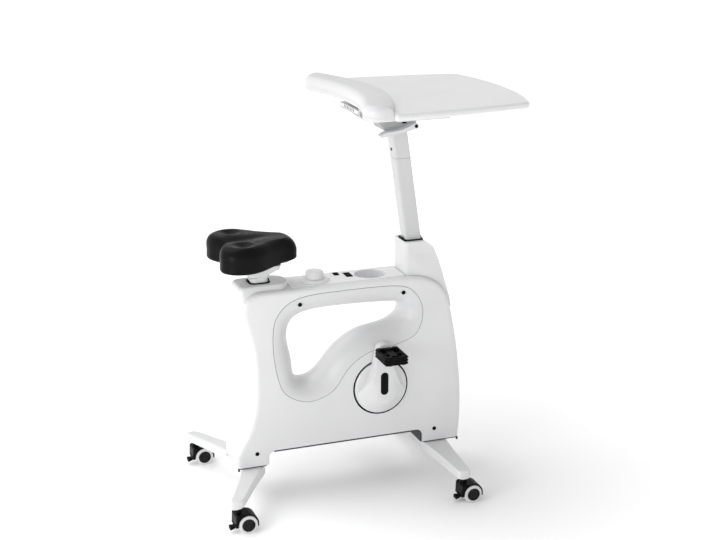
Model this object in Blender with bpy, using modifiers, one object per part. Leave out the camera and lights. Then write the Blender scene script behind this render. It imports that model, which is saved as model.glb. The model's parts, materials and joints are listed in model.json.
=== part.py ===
"""Desk exercise bike.

A moulded body over a welded steel frame, on two splayed legs with four twin-wheel
casters. A saddle on a gas-lifted post stands at the back, and a desktop with a padded
arm rest on a gas-lifted mast at the front. The crank drives a small magnetic flywheel
through a belt. The rider faces +X, +Y is the rider's left, +Z is up, and the origin is
on the floor below the middle of the bounding box.

Lengths are in metres. The outlines are measured from the crank's middle plane, and the
last step shifts every piece along X.
"""
import math

import bmesh
import bpy
from mathutils import Matrix, Vector

# Fits
TOUCH_GAP = 0.0003
SEAM_GAP = 0.0003

# The bounding box runs from the rear brake tabs to the desktop's front edge
ORIGIN_SHIFT_X = 0.018

# Moulded body
BODY_HALF_WIDTH = 0.065
BODY_EDGE_RADIUS = 0.012
SHELL_WALL = 0.003
BODY_TOP_Z = 0.601
BODY_BELLY_Z = 0.140
BODY_FOOT_Z = 0.100
REAR_EDGE = [(-0.386, 0.080), (-0.384, 0.138), (-0.357, 0.187), (-0.336, 0.245),
             (-0.327, 0.330), (-0.333, 0.430), (-0.352, 0.510), (-0.360, 0.545)]
REAR_CORNER_RADIUS = 0.056
FRONT_EDGE = [(0.100, 0.601), (0.160, 0.596), (0.202, 0.579), (0.227, 0.553), (0.242, 0.522),
              (0.259, 0.445), (0.273, 0.360), (0.283, 0.257), (0.284, 0.164), (0.277, 0.080)]
REAR_FOOT_FRONT_X = -0.297
FRONT_FOOT_REAR_X = 0.164
BELLY_CORNER_RADIUS = 0.018

# Window through the body: its seam on the side wall and its throat on the middle plane
WINDOW_SEAM = [(-0.200, 0.575), (-0.060, 0.583), (0.091, 0.578), (0.143, 0.546), (0.161, 0.492),
               (0.142, 0.434), (0.086, 0.410), (0.005, 0.396), (-0.056, 0.359), (-0.107, 0.294),
               (-0.175, 0.272), (-0.240, 0.300), (-0.266, 0.360), (-0.277, 0.460), (-0.262, 0.532)]
WINDOW_THROAT = [(-0.150, 0.523), (-0.045, 0.525), (0.078, 0.520), (0.104, 0.514), (0.112, 0.494),
                 (0.100, 0.469), (0.060, 0.456), (-0.015, 0.442), (-0.080, 0.400), (-0.136, 0.338),
                 (-0.176, 0.323), (-0.204, 0.340), (-0.212, 0.395), (-0.223, 0.462), (-0.205, 0.507)]
WINDOW_COUNT = 42
TRIM_WALL = 0.0025
TRIM_SEAM_GAP = 0.0010

# Console on the body's top
CONSOLE_REAR_X = -0.216
CONSOLE_FRONT_X = 0.114
CONSOLE_HALF_WIDTH = 0.049
CONSOLE_CORNER = 0.006
CONSOLE_TOP_Z = 0.6025
CONSOLE_WALL = 0.003
CUP_X = 0.0265
CUP_HALF = (0.0450, 0.0405)
CUP_DRAFT = 0.002
CUP_FLOOR_Z = 0.5520
CUP_WALL = 0.002
DISPLAY_CENTER = (-0.034, 0.012)
DISPLAY_HALF = (0.0095, 0.0205)
DISPLAY_DEPTH = 0.004
BUTTON_CENTER = (-0.064, 0.028)
BUTTON_HALF = (0.0072, 0.0110)
BUTTON_GAP = 0.0005
BUTTON_RISE = 0.0018
KNOB_X = -0.136
KNOB_RADIUS = 0.0255
KNOB_SHAFT_RADIUS = 0.0044
KNOB_BASE_RADIUS = 0.0430
KNOB_BASE_HEIGHT = 0.0055
KNOB_TOP_Z = 0.6290

# Shrouds over the top ends of the frame's two tubes
SEAT_SHROUD_TOP_Z = 0.616
SEAT_SHROUD_HALF_WIDTH = 0.042
SEAT_SHROUD_FRONT_X = -0.2185
SEAT_SHROUD_REAR_X = -0.392
MAST_SHROUD_TOP_Z = 0.694
MAST_SHROUD_HALF_WIDTH = 0.045
MAST_SHROUD_REAR_X = 0.1165
MAST_SHROUD_FRONT_X = 0.262

# Frame
FRAME_TUBE_SIZE = 0.058
FRAME_TUBE_BORE = 0.054
TUBE_SPACE_HALF = 0.0300
SEAT_TUBE_TOP_Z = 0.610
MAST_TUBE_TOP_Z = 0.690
BEAM_BOTTOM_Z = 0.154
BEAM_TOP_Z = 0.194
BEAM_HALF_WIDTH = 0.0145
REAR_PAD_X = (-0.366, -0.306)
FRONT_PAD_X = (0.172, 0.262)
PAD_PLATE_HALF_WIDTH = 0.045
PAD_PLATE_THICKNESS = 0.005
HUB_RADIUS = 0.0225
HUB_ENDS_Y = (-0.038, 0.0105)
BEARING_RADIUS = 0.0165
BEARING_WIDTH = 0.010

# Seat
SEAT_AXIS_X = -0.298
SEAT_AXIS_Z = 0.620
SEAT_LEAN = math.radians(6.0)
SEAT_POST_SIZE = 0.0490
SEAT_POST_CORNER = 0.0125
SEAT_NECK_HALF = 0.0266
SEAT_NECK_CORNER = SEAT_POST_CORNER + 0.0015
COLLAR_NECK_Z = SEAT_TUBE_TOP_Z + 0.0006
SEAT_POST_LOW = -0.250
SEAT_POST_TOP = 0.0120
SADDLE_BOTTOM_Z = 0.675
SADDLE_TOP_Z = 0.746
SADDLE_BASE_TOP_Z = 0.6720
SADDLE_BASE_THICKNESS = 0.006
SADDLE_BASE_SHARE = 0.60
ADAPTER_TOP_Z = SADDLE_BASE_TOP_Z - SADDLE_BASE_THICKNESS - TOUCH_GAP
ADAPTER_BOTTOM_Z = 0.6330
SEAT_LEVER_Y = 0.0405
SEAT_LEVER_Z = 0.6475

# The saddle's rings: each one's share of the outline and its height over the bottom,
# then each one's share and its drop below the top surface
SADDLE_CENTER = (-0.318, 0.0)
SADDLE_RINGS = [(0.60, -0.0030), (0.90, -0.0030), (0.965, 0.0050), (0.997, 0.0175), (1.0, 0.034),
                (0.985, 0.050)]
SADDLE_CROWN = [(0.945, 0.0180), (0.875, 0.0085), (0.76, 0.0030), (0.60, 0.0), (0.44, 0.0),
                (0.28, 0.0), (0.12, 0.0)]

# Desk mast
MAST_AXIS_X = 0.1486
MAST_AXIS_Z = 0.700
MAST_LEAN = math.radians(8.2)
MAST_SIZE = 0.0455
MAST_LOW = -0.275
MAST_TOP = 0.3230
BAR_CORNER = 0.0055
BAR_WALL = 0.0030
HEAD_BOTTOM_Z = 1.0130
HEAD_HALF_WIDTH = 0.038
SUPPORT_BOTTOM_Z = 1.0720
SUPPORT_TOP_Z = 1.0780
LEVER_PIVOT = (0.1345, 1.0250)

# Gas springs
GAS_RADIUS = 0.0140
ROD_RADIUS = 0.0050
ROD_BORE = 0.0062

# Desk
DESK_TOP_Z = 1.1062
DESK_THICKNESS = 0.0176
DESK_REAR_X = -0.030
DESK_FRONT_X = 0.424
DESK_HALF_WIDTH = 0.284
DESK_CORNER_CENTER = (0.362, -0.219)
DESK_CORNER_RADIUS = 0.029
SLIDE_PIVOT = (-0.0030, 1.0785)
PAD_BORDER_X = 0.056
PAD_REAR_X = -0.034
PAD_HALF_LENGTH = 0.276
PAD_TOP_Z = 1.1275
PAD_BOTTOM_Z = 1.0850
PAD_LIP_X = -0.0120
PAD_CORNER = 0.044
PAD_END_RADIUS = 0.012

# Crank and drive
CRANK_X = 0.0362
CRANK_Z = 0.2872
CRANK_LENGTH = 0.1195
CRANK_DISC_RADIUS = 0.0772
CRANK_HOLE_RADIUS = 0.0802
CRANK_BACK_Y = 0.0560
CRANK_DISC_FACE = 0.0705
CRANK_ARM_FACE = 0.0955
ARM_FOOT = [(0.0, -0.0738), (0.040, -0.0620), (0.0648, -0.0350), (0.0715, -0.0115), (0.0560, 0.0090),
            (0.0425, 0.0320), (0.0335, 0.0560), (0.0270, 0.0820), (0.0225, 0.1060), (0.0190, 0.1240),
            (0.0110, 0.1345), (0.0, 0.1375)]
ARM_CREST = [(0.0, -0.0280), (0.0120, -0.0250), (0.0180, -0.0170), (0.0195, -0.0040), (0.0195, 0.0120),
             (0.0190, 0.0340), (0.0180, 0.0600), (0.0165, 0.0850), (0.0148, 0.1050), (0.0125, 0.1220),
             (0.0070, 0.1300), (0.0, 0.1325)]
ARM_SWELL = [(0.0, 0.045, 0.045), (0.05, 0.10, 0.90), (0.35, 0.52, 0.96), (0.70, 0.87, 0.99), (1.0, 1.0, 1.0)]
AXLE_RADIUS = 0.0085
PEDAL_INNER = 0.1030
PEDAL_WIDTH = 0.0880
PEDAL_LENGTH = 0.0660
PEDAL_HEIGHT = 0.0250
PEDAL_LIP_Z = 0.0096
PULLEY_RADIUS = 0.095
PULLEY_HOLE_CIRCLE = 0.052
PULLEY_HOLE_RADIUS = 0.020
FLYWHEEL_PULLEY_RADIUS = 0.019
FLYWHEEL_X = -0.170
FLYWHEEL_Z = 0.215
FLYWHEEL_RADIUS = 0.066
FLYWHEEL_Y = (0.0340, 0.0520)
FLYWHEEL_AXLE_RADIUS = 0.0050
BELT_THICKNESS = 0.0028
BELT_Y = 0.0215
BELT_WIDTH = 0.010
BELT_GAP = 0.0008
BRACKET_PIVOT = (-0.086, 0.176)
BRACKET_PIN_RADIUS = 0.0032

# Legs
REAR_STEM = (-0.432, 0.232)
FRONT_STEM = (0.2045, 0.267)
REAR_LEG_ROOT = (-0.335, 0.0325)
FRONT_LEG_ROOT = (0.2065, 0.0365)
LEG_ROOT_Y = 0.050
LEG_END_HALF = 0.0200
LEG_NOSE = 0.0150
LEG_END_TOP_Z = 0.0950
LEG_END_BOTTOM_Z = 0.0700
LEG_ROOT_TOP_Z = 0.0962
LEG_ROOT_BOTTOM_Z = 0.066
STEM_RADIUS = 0.0055
FRAME_FOOT_Z = LEG_ROOT_TOP_Z + TOUCH_GAP

# Casters
WHEEL_RADIUS = 0.026
WHEEL_OUTER = 0.027
WHEEL_INNER = 0.0085
CASTER_TRAIL = 0.021
HOOD_TOP_Z = 0.0565
HOOD_HALF_WIDTH = 0.0255
HOOD_RADIUS = 0.0303
HOOD_REAR = -0.0130
BRAKE_PIVOT = (-0.0060, 0.0215)
BRAKE_HALF_WIDTH = 0.0078


def clear_scene():
    for existing in list(bpy.data.objects):
        bpy.data.objects.remove(existing, do_unlink=True)


def new_collection(name):
    collection = bpy.data.collections.new(name)
    bpy.context.scene.collection.children.link(collection)
    return collection


clear_scene()
PARTS = new_collection("desk_exercise_bike")
CUTTERS = new_collection("cutters")


def make_material(name, color, roughness, metallic=0.0):
    material = bpy.data.materials.new(name)
    material.use_nodes = True
    shader = material.node_tree.nodes["Principled BSDF"]
    shader.inputs["Base Color"].default_value = (*color, 1.0)
    shader.inputs["Roughness"].default_value = roughness
    shader.inputs["Metallic"].default_value = metallic
    return material


WHITE_SHELL = make_material("white_plastic", (0.86, 0.86, 0.87), 0.38)
GREY_TRIM = make_material("pale_grey_plastic", (0.78, 0.78, 0.79), 0.36)
WHITE_STEEL = make_material("white_coated_steel", (0.84, 0.84, 0.85), 0.34, 0.1)
BLACK_PLASTIC = make_material("black_plastic", (0.02, 0.02, 0.022), 0.42)
BLACK_SKIN = make_material("black_skin", (0.015, 0.015, 0.016), 0.45)
PALE_SKIN = make_material("pale_grey_skin", (0.74, 0.74, 0.75), 0.5)
DARK_LENS = make_material("dark_lens", (0.01, 0.01, 0.012), 0.12)
STEEL = make_material("steel", (0.55, 0.55, 0.56), 0.3, 1.0)
CAST_METAL = make_material("cast_metal", (0.32, 0.32, 0.33), 0.5, 0.9)
RUBBER = make_material("rubber", (0.03, 0.03, 0.03), 0.8)
TYRE = make_material("pale_tyre", (0.72, 0.72, 0.72), 0.55)


# Placing and shading

def link_mesh(name, bm, collection):
    mesh = bpy.data.meshes.new(name)
    bm.to_mesh(mesh)
    bm.free()
    made = bpy.data.objects.new(name, mesh)
    collection.objects.link(made)
    return made


def finish_node(made, name, material, sharp_degrees=35.0):
    """Names a finished solid, gives it its material and shades its round faces smooth."""
    made.name = name
    made.data.name = name
    made.data.materials.clear()
    made.data.materials.append(material)
    for collection in list(made.users_collection):
        collection.objects.unlink(made)
    PARTS.objects.link(made)
    made.hide_render = False
    made.display_type = "TEXTURED"
    made.data.shade_smooth()
    made.data.set_sharp_from_angle(angle=math.radians(sharp_degrees))
    return made


def put_origin(made, place):
    """Moves an object's origin to its joint without moving its mesh in the world."""
    place = Vector(place)
    made.data.transform(Matrix.Translation(-place))
    made.location = place
    return made


def evaluated_copy(source, name):
    """Turns an object with its modifiers, or a curve, into one plain mesh object."""
    depsgraph = bpy.context.evaluated_depsgraph_get()
    mesh = bpy.data.meshes.new_from_object(source.evaluated_get(depsgraph))
    mesh.transform(source.matrix_world)
    made = bpy.data.objects.new(name, mesh)
    CUTTERS.objects.link(made)
    bpy.data.objects.remove(source, do_unlink=True)
    return made


# Basic solids, all made as cutters and moved to the part's collection when finished

def hide_cutter(made):
    made.hide_render = True
    made.display_type = "WIRE"
    return made


def box(name, low, high, matrix=None):
    bm = bmesh.new()
    bmesh.ops.create_cube(bm, size=1.0)
    size = [high[i] - low[i] for i in range(3)]
    center = [(high[i] + low[i]) / 2 for i in range(3)]
    stretch = Matrix.Translation(center) @ Matrix.Diagonal((*size, 1.0))
    bmesh.ops.transform(bm, matrix=stretch, verts=bm.verts)
    if matrix is not None:
        bmesh.ops.transform(bm, matrix=matrix, verts=bm.verts)
    return hide_cutter(link_mesh(name, bm, CUTTERS))


def cylinder(name, radius, start, end, segments=24, end_radius=None):
    start = Vector(start)
    end = Vector(end)
    axis = end - start
    turn = Vector((0, 0, 1)).rotation_difference(axis).to_matrix().to_4x4()
    bm = bmesh.new()
    bmesh.ops.create_cone(bm, cap_ends=True, segments=segments, radius1=radius,
                          radius2=radius if end_radius is None else end_radius, depth=axis.length)
    bmesh.ops.transform(bm, matrix=Matrix.Translation((start + end) / 2) @ turn, verts=bm.verts)
    return hide_cutter(link_mesh(name, bm, CUTTERS))


def turned(name, profile, center, axis="Z", steps=32):
    """Turns a profile of (radius, height) pairs, listed from top to bottom, round an axis."""
    bm = bmesh.new()
    verts = [bm.verts.new((radius, 0.0, height)) for radius, height in profile]
    for first, second in zip(verts, verts[1:]):
        bm.edges.new((first, second))
    made = link_mesh(name, bm, CUTTERS)
    screw = made.modifiers.new("turn", "SCREW")
    screw.axis = "Z"
    screw.steps = steps
    screw.render_steps = steps
    screw.use_merge_vertices = True
    screw.merge_threshold = 0.00005
    turn = {"Z": Matrix.Identity(4),
            "Y": Matrix.Rotation(math.radians(-90), 4, "X"),
            "-Y": Matrix.Rotation(math.radians(90), 4, "X"),
            "X": Matrix.Rotation(math.radians(90), 4, "Y")}[axis]
    made.matrix_world = Matrix.Translation(center) @ turn
    bpy.context.view_layer.update()
    solid = evaluated_copy(made, name)
    weld(solid)
    return hide_cutter(solid)


def plate(name, outline, low, high, plane="XZ", edge=0.0, edge_steps=2, inset=0.0):
    """Extrudes a closed outline between two levels, with round edges of radius edge.

    plane XZ extrudes along Y, plane XY along Z and plane YZ along X. inset shrinks the
    solid on every side and leaves the edges' centres where they are.
    """
    curve = bpy.data.curves.new(name, "CURVE")
    curve.dimensions = "2D"
    curve.fill_mode = "BOTH"
    spline = curve.splines.new("POLY")
    spline.points.add(len(outline) - 1)
    for point, (a, b) in zip(spline.points, outline):
        point.co = (a, b, 0.0, 1.0)
    spline.use_cyclic_u = True
    half = (high - low) / 2
    if edge > 0:
        curve.extrude = half - edge
        curve.bevel_depth = edge - inset
        curve.bevel_resolution = edge_steps
        curve.offset = -edge
    else:
        curve.extrude = half - inset
        curve.offset = -inset
    middle = (low + high) / 2
    turn = {"XY": Matrix.Identity(4),
            "XZ": Matrix(((1, 0, 0, 0), (0, 0, -1, 0), (0, 1, 0, 0), (0, 0, 0, 1))),
            "YZ": Matrix(((0, 0, 1, 0), (1, 0, 0, 0), (0, 1, 0, 0), (0, 0, 0, 1)))}[plane]
    shift = {"XY": (0, 0, middle), "XZ": (0, middle, 0), "YZ": (middle, 0, 0)}[plane]
    made = bpy.data.objects.new(name, curve)
    CUTTERS.objects.link(made)
    made.matrix_world = Matrix.Translation(shift) @ turn
    bpy.context.view_layer.update()
    solid = evaluated_copy(made, name)
    weld(solid)
    return hide_cutter(solid)


def span_box(name, x, y, z):
    """A box from a range along each axis, given in either order."""
    x, y, z = sorted(x), sorted(y), sorted(z)
    return box(name, (x[0], y[0], z[0]), (x[1], y[1], z[1]))


def cross_bar(name, radius, x, z, y_low, y_high, segments=24):
    """A cylinder along Y through (x, z)."""
    return cylinder(name, radius, (x, y_low, z), (x, y_high, z), segments)


def weld(made, distance=0.00002):
    bm = bmesh.new()
    bm.from_mesh(made.data)
    bmesh.ops.remove_doubles(bm, verts=bm.verts, dist=distance)
    bmesh.ops.recalc_face_normals(bm, faces=bm.faces)
    bm.to_mesh(made.data)
    bm.free()


def tube(name, points, radius, sides_resolution=1):
    """A round bar or cable along points, with closed ends."""
    curve = bpy.data.curves.new(name, "CURVE")
    curve.dimensions = "3D"
    curve.bevel_depth = radius
    curve.bevel_resolution = sides_resolution
    curve.use_fill_caps = True
    spline = curve.splines.new("POLY")
    spline.points.add(len(points) - 1)
    for point, place in zip(spline.points, points):
        point.co = (*place, 1.0)
    made = bpy.data.objects.new(name, curve)
    CUTTERS.objects.link(made)
    bpy.context.view_layer.update()
    solid = evaluated_copy(made, name)
    weld(solid)
    return hide_cutter(solid)


def loft(name, rings):
    """Joins closed rings of equal count by faces and closes both ends."""
    bm = bmesh.new()
    rows = [[bm.verts.new(place) for place in ring] for ring in rings]
    count = len(rows[0])
    for near, far in zip(rows, rows[1:]):
        for i in range(count):
            j = (i + 1) % count
            bm.faces.new((near[i], near[j], far[j], far[i]))
    bm.faces.new(rows[0])
    bm.faces.new(reversed(rows[-1]))
    bmesh.ops.recalc_face_normals(bm, faces=bm.faces)
    return hide_cutter(link_mesh(name, bm, CUTTERS))


def combine(base, others, operation):
    """Applies one Boolean operation of base with each of the others, which it uses up."""
    for other in others:
        modifier = base.modifiers.new("combine", "BOOLEAN")
        modifier.operation = operation
        modifier.solver = "EXACT"
        modifier.object = other
    bpy.context.view_layer.update()
    result = evaluated_copy(base, base.name)
    for other in others:
        bpy.data.objects.remove(other, do_unlink=True)
    clean_seams(result)
    return hide_cutter(result)


def clean_seams(made):
    """Welds the slivers that a Boolean leaves and removes flat, edge-thin faces."""
    bm = bmesh.new()
    bm.from_mesh(made.data)
    bmesh.ops.remove_doubles(bm, verts=bm.verts, dist=0.00001)
    bmesh.ops.dissolve_degenerate(bm, edges=bm.edges, dist=0.00001)
    bm.to_mesh(made.data)
    bm.free()


def union(base, *others):
    return combine(base, others, "UNION")


def cut(base, *others):
    return combine(base, others, "DIFFERENCE")


def keep_inside(base, other):
    return combine(base, (other,), "INTERSECT")


def duplicate(source, name, mirror_y=False):
    mesh = source.data.copy()
    if mirror_y:
        mesh.transform(Matrix.Diagonal((1, -1, 1, 1)))
        mesh.flip_normals()
    made = bpy.data.objects.new(name, mesh)
    made.matrix_world = source.matrix_world
    CUTTERS.objects.link(made)
    return hide_cutter(made)


# Outlines

def arc(center, radius, start_degrees, end_degrees, steps):
    points = []
    for i in range(steps + 1):
        angle = math.radians(start_degrees + (end_degrees - start_degrees) * i / steps)
        points.append((center[0] + radius * math.cos(angle), center[1] + radius * math.sin(angle)))
    return points


def smooth_path(points, steps, closed=False):
    """Points along a Catmull-Rom curve that passes through every given point."""
    count = len(points)
    spans = count if closed else count - 1
    result = []
    for i in range(spans):
        if closed:
            p0, p1, p2, p3 = (Vector(points[(i + k) % count]) for k in (-1, 0, 1, 2))
        else:
            p1 = Vector(points[i])
            p2 = Vector(points[i + 1])
            p0 = Vector(points[i - 1]) if i > 0 else 2 * p1 - p2
            p3 = Vector(points[i + 2]) if i + 2 < count else 2 * p2 - p1
        for k in range(steps):
            t = k / steps
            place = 0.5 * ((2 * p1) + (p2 - p0) * t + (2 * p0 - 5 * p1 + 4 * p2 - p3) * t * t
                           + (3 * p1 - p0 - 3 * p2 + p3) * t ** 3)
            result.append(tuple(place))
    if not closed:
        result.append(tuple(points[-1]))
    return result


def even_spacing(points, count):
    """The same closed outline with points at equal distances along it."""
    loop = [Vector(p) for p in points]
    lengths = [0.0]
    for a, b in zip(loop, loop[1:] + loop[:1]):
        lengths.append(lengths[-1] + (b - a).length)
    total = lengths[-1]
    result = []
    k = 0
    for i in range(count):
        target = total * i / count
        while lengths[k + 1] < target:
            k += 1
        part = (target - lengths[k]) / (lengths[k + 1] - lengths[k])
        result.append(tuple(loop[k].lerp(loop[(k + 1) % len(loop)], part)))
    return result


def rounded(corners, steps=4):
    """A closed outline from (a, b, radius) corners, with an arc at each one."""
    result = []
    count = len(corners)
    for i in range(count):
        here = Vector(corners[i][:2])
        before = Vector(corners[i - 1][:2])
        after = Vector(corners[(i + 1) % count][:2])
        radius = corners[i][2]
        if radius <= 0:
            result.append(tuple(here))
            continue
        to_before = (before - here).normalized()
        to_after = (after - here).normalized()
        half_angle = to_before.angle(to_after) / 2
        reach = radius / math.tan(half_angle)
        center = here + (to_before + to_after).normalized() * radius / math.sin(half_angle)
        first = here + to_before * reach
        last = here + to_after * reach
        start = (first - center)
        end = (last - center)
        turn = math.atan2(start.x * end.y - start.y * end.x, start.dot(end))
        for k in range(steps + 1):
            angle = turn * k / steps
            place = center + Vector((start.x * math.cos(angle) - start.y * math.sin(angle),
                                     start.x * math.sin(angle) + start.y * math.cos(angle)))
            result.append(tuple(place))
    return result


def ellipse(half_a, half_b, center, steps):
    turns = [2 * math.pi * i / steps for i in range(steps)]
    return [(center[0] + half_a * math.cos(turn), center[1] + half_b * math.sin(turn)) for turn in turns]


def at_level(outline, z):
    return [(a, b, z) for a, b in outline]


def rectangle(half_a, half_b, radius, steps=3, center=(0.0, 0.0)):
    a, b = center
    return rounded([(a + half_a, b + half_b, radius), (a - half_a, b + half_b, radius),
                    (a - half_a, b - half_b, radius), (a + half_a, b - half_b, radius)], steps)


# The slanting axes of the seat post and the mast

def slant(axis_x, axis_z, lean):
    """A frame whose Z runs up a slanting axis through (axis_x, 0, axis_z)."""
    return Matrix.Translation((axis_x, 0, axis_z)) @ Matrix.Rotation(-lean, 4, "Y")


SEAT_FRAME = slant(SEAT_AXIS_X, SEAT_AXIS_Z, SEAT_LEAN)
MAST_FRAME = slant(MAST_AXIS_X, MAST_AXIS_Z, MAST_LEAN)


def seat_x(z):
    return SEAT_AXIS_X - math.tan(SEAT_LEAN) * (z - SEAT_AXIS_Z)


def mast_x(z):
    return MAST_AXIS_X - math.tan(MAST_LEAN) * (z - MAST_AXIS_Z)


def slanted_bar(name, frame, half, low, high, radius=0.004):
    """A square bar along a slanting frame, with round corners, from low to high along it."""
    bar = plate(name, rectangle(half, half, radius, 2), low, high, "XY")
    bar.data.transform(frame)
    return bar


def body_outline(detail):
    corner = arc((REAR_EDGE[-1][0] + REAR_CORNER_RADIUS, BODY_TOP_Z - REAR_CORNER_RADIUS),
                 REAR_CORNER_RADIUS, 180, 90, 2 + 2 * detail)
    rear = smooth_path(REAR_EDGE, detail)[:-1]
    front = smooth_path(FRONT_EDGE, detail)
    return (rear + corner + front)[::-1]


def body_solid(name, inset=0.0, detail=2):
    return plate(name, body_outline(detail), -BODY_HALF_WIDTH, BODY_HALF_WIDTH, "XZ",
                 edge=BODY_EDGE_RADIUS, edge_steps=detail, inset=inset)


def window_loops():
    seam = even_spacing(smooth_path(WINDOW_SEAM, 6, closed=True), WINDOW_COUNT)
    throat = even_spacing(smooth_path(WINDOW_THROAT, 6, closed=True), WINDOW_COUNT)
    return seam, throat


def belly_cutter(name, wall=0.0):
    """The space under the body between its two feet, larger all round by a wall."""
    radius = BELLY_CORNER_RADIUS + wall
    outline = rounded([(REAR_FOOT_FRONT_X - wall, 0.02, 0), (FRONT_FOOT_REAR_X + wall, 0.02, 0),
                       (FRONT_FOOT_REAR_X + wall, BODY_BELLY_Z + wall, radius),
                       (REAR_FOOT_FRONT_X - wall, BODY_BELLY_Z + wall, radius)], 3)
    return plate(name, outline, -0.1, 0.1, "XZ")


# Body shells

def build_shells():
    whole = body_solid("shell")
    hollow = cut(body_solid("hollow", inset=SHELL_WALL, detail=1), belly_cutter("belly_wall", SHELL_WALL))
    whole = cut(whole, hollow)
    seam, _ = window_loops()
    reach = BODY_HALF_WIDTH + 0.02
    fit = 0.0005
    tube_hole_half = TUBE_SPACE_HALF + 0.004
    cutters = [belly_cutter("belly"),
               span_box("floor_cut", (-0.45, 0.35), (-reach, reach), (0.0, BODY_FOOT_Z)),
               plate("window", seam, -reach, reach, "XZ"),
               cross_bar("crank_hole", CRANK_HOLE_RADIUS, CRANK_X, CRANK_Z, -reach, reach, 32),
               span_box("console_hole", (CONSOLE_REAR_X - fit, CONSOLE_FRONT_X + fit),
                        (-CONSOLE_HALF_WIDTH - fit, CONSOLE_HALF_WIDTH + fit), (0.59, 0.62)),
               slanted_bar("seat_tube_hole", SEAT_FRAME, tube_hole_half, -0.08, 0.05),
               slanted_bar("mast_tube_hole", MAST_FRAME, tube_hole_half, -0.19, 0.05)]
    whole = cut(whole, *cutters)
    left = duplicate(whole, "left_half")
    left = keep_inside(left, span_box("left_side", (-0.6, 0.6), (SEAM_GAP / 2, 0.2), (0.0, 0.9)))
    right = keep_inside(whole, span_box("right_side", (-0.6, 0.6), (-SEAM_GAP / 2, -0.2), (0.0, 0.9)))
    finish_node(left, "left_shell", WHITE_SHELL)
    finish_node(right, "right_shell", WHITE_SHELL)


# Window trims, a quarter-round roll from each side wall down to the throat

def inset_loop(loop, distance):
    """A closed outline drawn in by a distance; the outline runs clockwise in X and Z."""
    result = []
    count = len(loop)
    for i in range(count):
        before = Vector(loop[i - 1])
        after = Vector(loop[(i + 1) % count])
        along = (after - before).normalized()
        inward = Vector((along.y, -along.x))
        result.append(tuple(Vector(loop[i]) + inward * distance))
    return result


def build_trims():
    seam, throat = window_loops()
    seam = inset_loop(seam, TRIM_SEAM_GAP)
    outer_angles = [18 * k for k in range(6)]
    inner_angles = [90, 60, 30, 0]
    for side, name in ((-1, "right_window_trim"), (1, "left_window_trim")):
        rows = []
        for angles, wall in ((outer_angles, 0.0), (inner_angles, TRIM_WALL)):
            for degrees in angles:
                angle = math.radians(degrees)
                depth = (BODY_HALF_WIDTH - SEAM_GAP / 2 - wall) * math.cos(angle)
                row = []
                for a, b in zip(seam, throat):
                    across = Vector(b) - Vector(a)
                    share = math.sin(angle) * (1 - wall / across.length)
                    place = Vector(a) + across * share
                    row.append((place.x, side * (SEAM_GAP / 2 + depth), place.y))
                rows.append(row)
        finish_node(ring_solid(name, rows), name, GREY_TRIM)


def ring_solid(name, rows):
    """Joins closed rings into a closed band: the last ring joins the first one."""
    bm = bmesh.new()
    rings = [[bm.verts.new(place) for place in row] for row in rows]
    count = len(rings[0])
    for near, far in zip(rings, rings[1:] + rings[:1]):
        for i in range(count):
            j = (i + 1) % count
            bm.faces.new((near[i], near[j], far[j], far[i]))
    bmesh.ops.recalc_face_normals(bm, faces=bm.faces)
    return hide_cutter(link_mesh(name, bm, CUTTERS))


# Console


def window_in_console(name, center, half, gap):
    """The hole for a piece that sits in the console's plate."""
    return span_box(name, (center[0] - half[0] - gap, center[0] + half[0] + gap),
                    (center[1] - half[1] - gap, center[1] + half[1] + gap), (0.59, 0.62))


def cup_solid(name, wall, low, high):
    """The oval cup holder's wall or its bore, a little narrower at the bottom."""
    center = (CUP_X, 0.0)
    half_a = CUP_HALF[0] + wall
    half_b = CUP_HALF[1] + wall
    small = ellipse(half_a - CUP_DRAFT, half_b - CUP_DRAFT, center, 32)
    return loft(name, [at_level(small, low), at_level(ellipse(half_a, half_b, center, 32), high)])


def build_console():
    outline = rounded([(CONSOLE_REAR_X, -CONSOLE_HALF_WIDTH, CONSOLE_CORNER),
                       (CONSOLE_FRONT_X, -CONSOLE_HALF_WIDTH, CONSOLE_CORNER),
                       (CONSOLE_FRONT_X, CONSOLE_HALF_WIDTH, CONSOLE_CORNER),
                       (CONSOLE_REAR_X, CONSOLE_HALF_WIDTH, CONSOLE_CORNER)], 2)
    strip = plate("strip", outline, CONSOLE_TOP_Z - CONSOLE_WALL, CONSOLE_TOP_Z, "XY")
    cup = cup_solid("cup", CUP_WALL, CUP_FLOOR_Z - CUP_WALL, CONSOLE_TOP_Z - 0.0005)
    console = union(strip, cup)
    shaft_hole = cylinder("shaft_hole", KNOB_SHAFT_RADIUS + 0.0006, (KNOB_X, 0, 0.58), (KNOB_X, 0, 0.62), 16)
    console = cut(console, cup_solid("cup_bore", 0.0, CUP_FLOOR_Z, CONSOLE_TOP_Z + 0.0002),
                  window_in_console("display_hole", DISPLAY_CENTER, DISPLAY_HALF, TOUCH_GAP),
                  window_in_console("button_hole", BUTTON_CENTER, BUTTON_HALF, BUTTON_GAP), shaft_hole)
    finish_node(console, "console", WHITE_SHELL)

    x, y = DISPLAY_CENTER
    display = span_box("display", (x - DISPLAY_HALF[0], x + DISPLAY_HALF[0]),
                       (y - DISPLAY_HALF[1], y + DISPLAY_HALF[1]),
                       (CONSOLE_TOP_Z - DISPLAY_DEPTH, CONSOLE_TOP_Z + 0.0004))
    finish_node(display, "console_display", DARK_LENS)

    outline = rectangle(BUTTON_HALF[0], BUTTON_HALF[1], 0.0025, 3, BUTTON_CENTER)
    button = plate("button", outline, CONSOLE_TOP_Z - DISPLAY_DEPTH, CONSOLE_TOP_Z + BUTTON_RISE, "XY")
    finish_node(button, "mode_button", BLACK_PLASTIC)
    put_origin(button, (BUTTON_CENTER[0], BUTTON_CENTER[1], CONSOLE_TOP_Z))
    build_knob()


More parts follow.
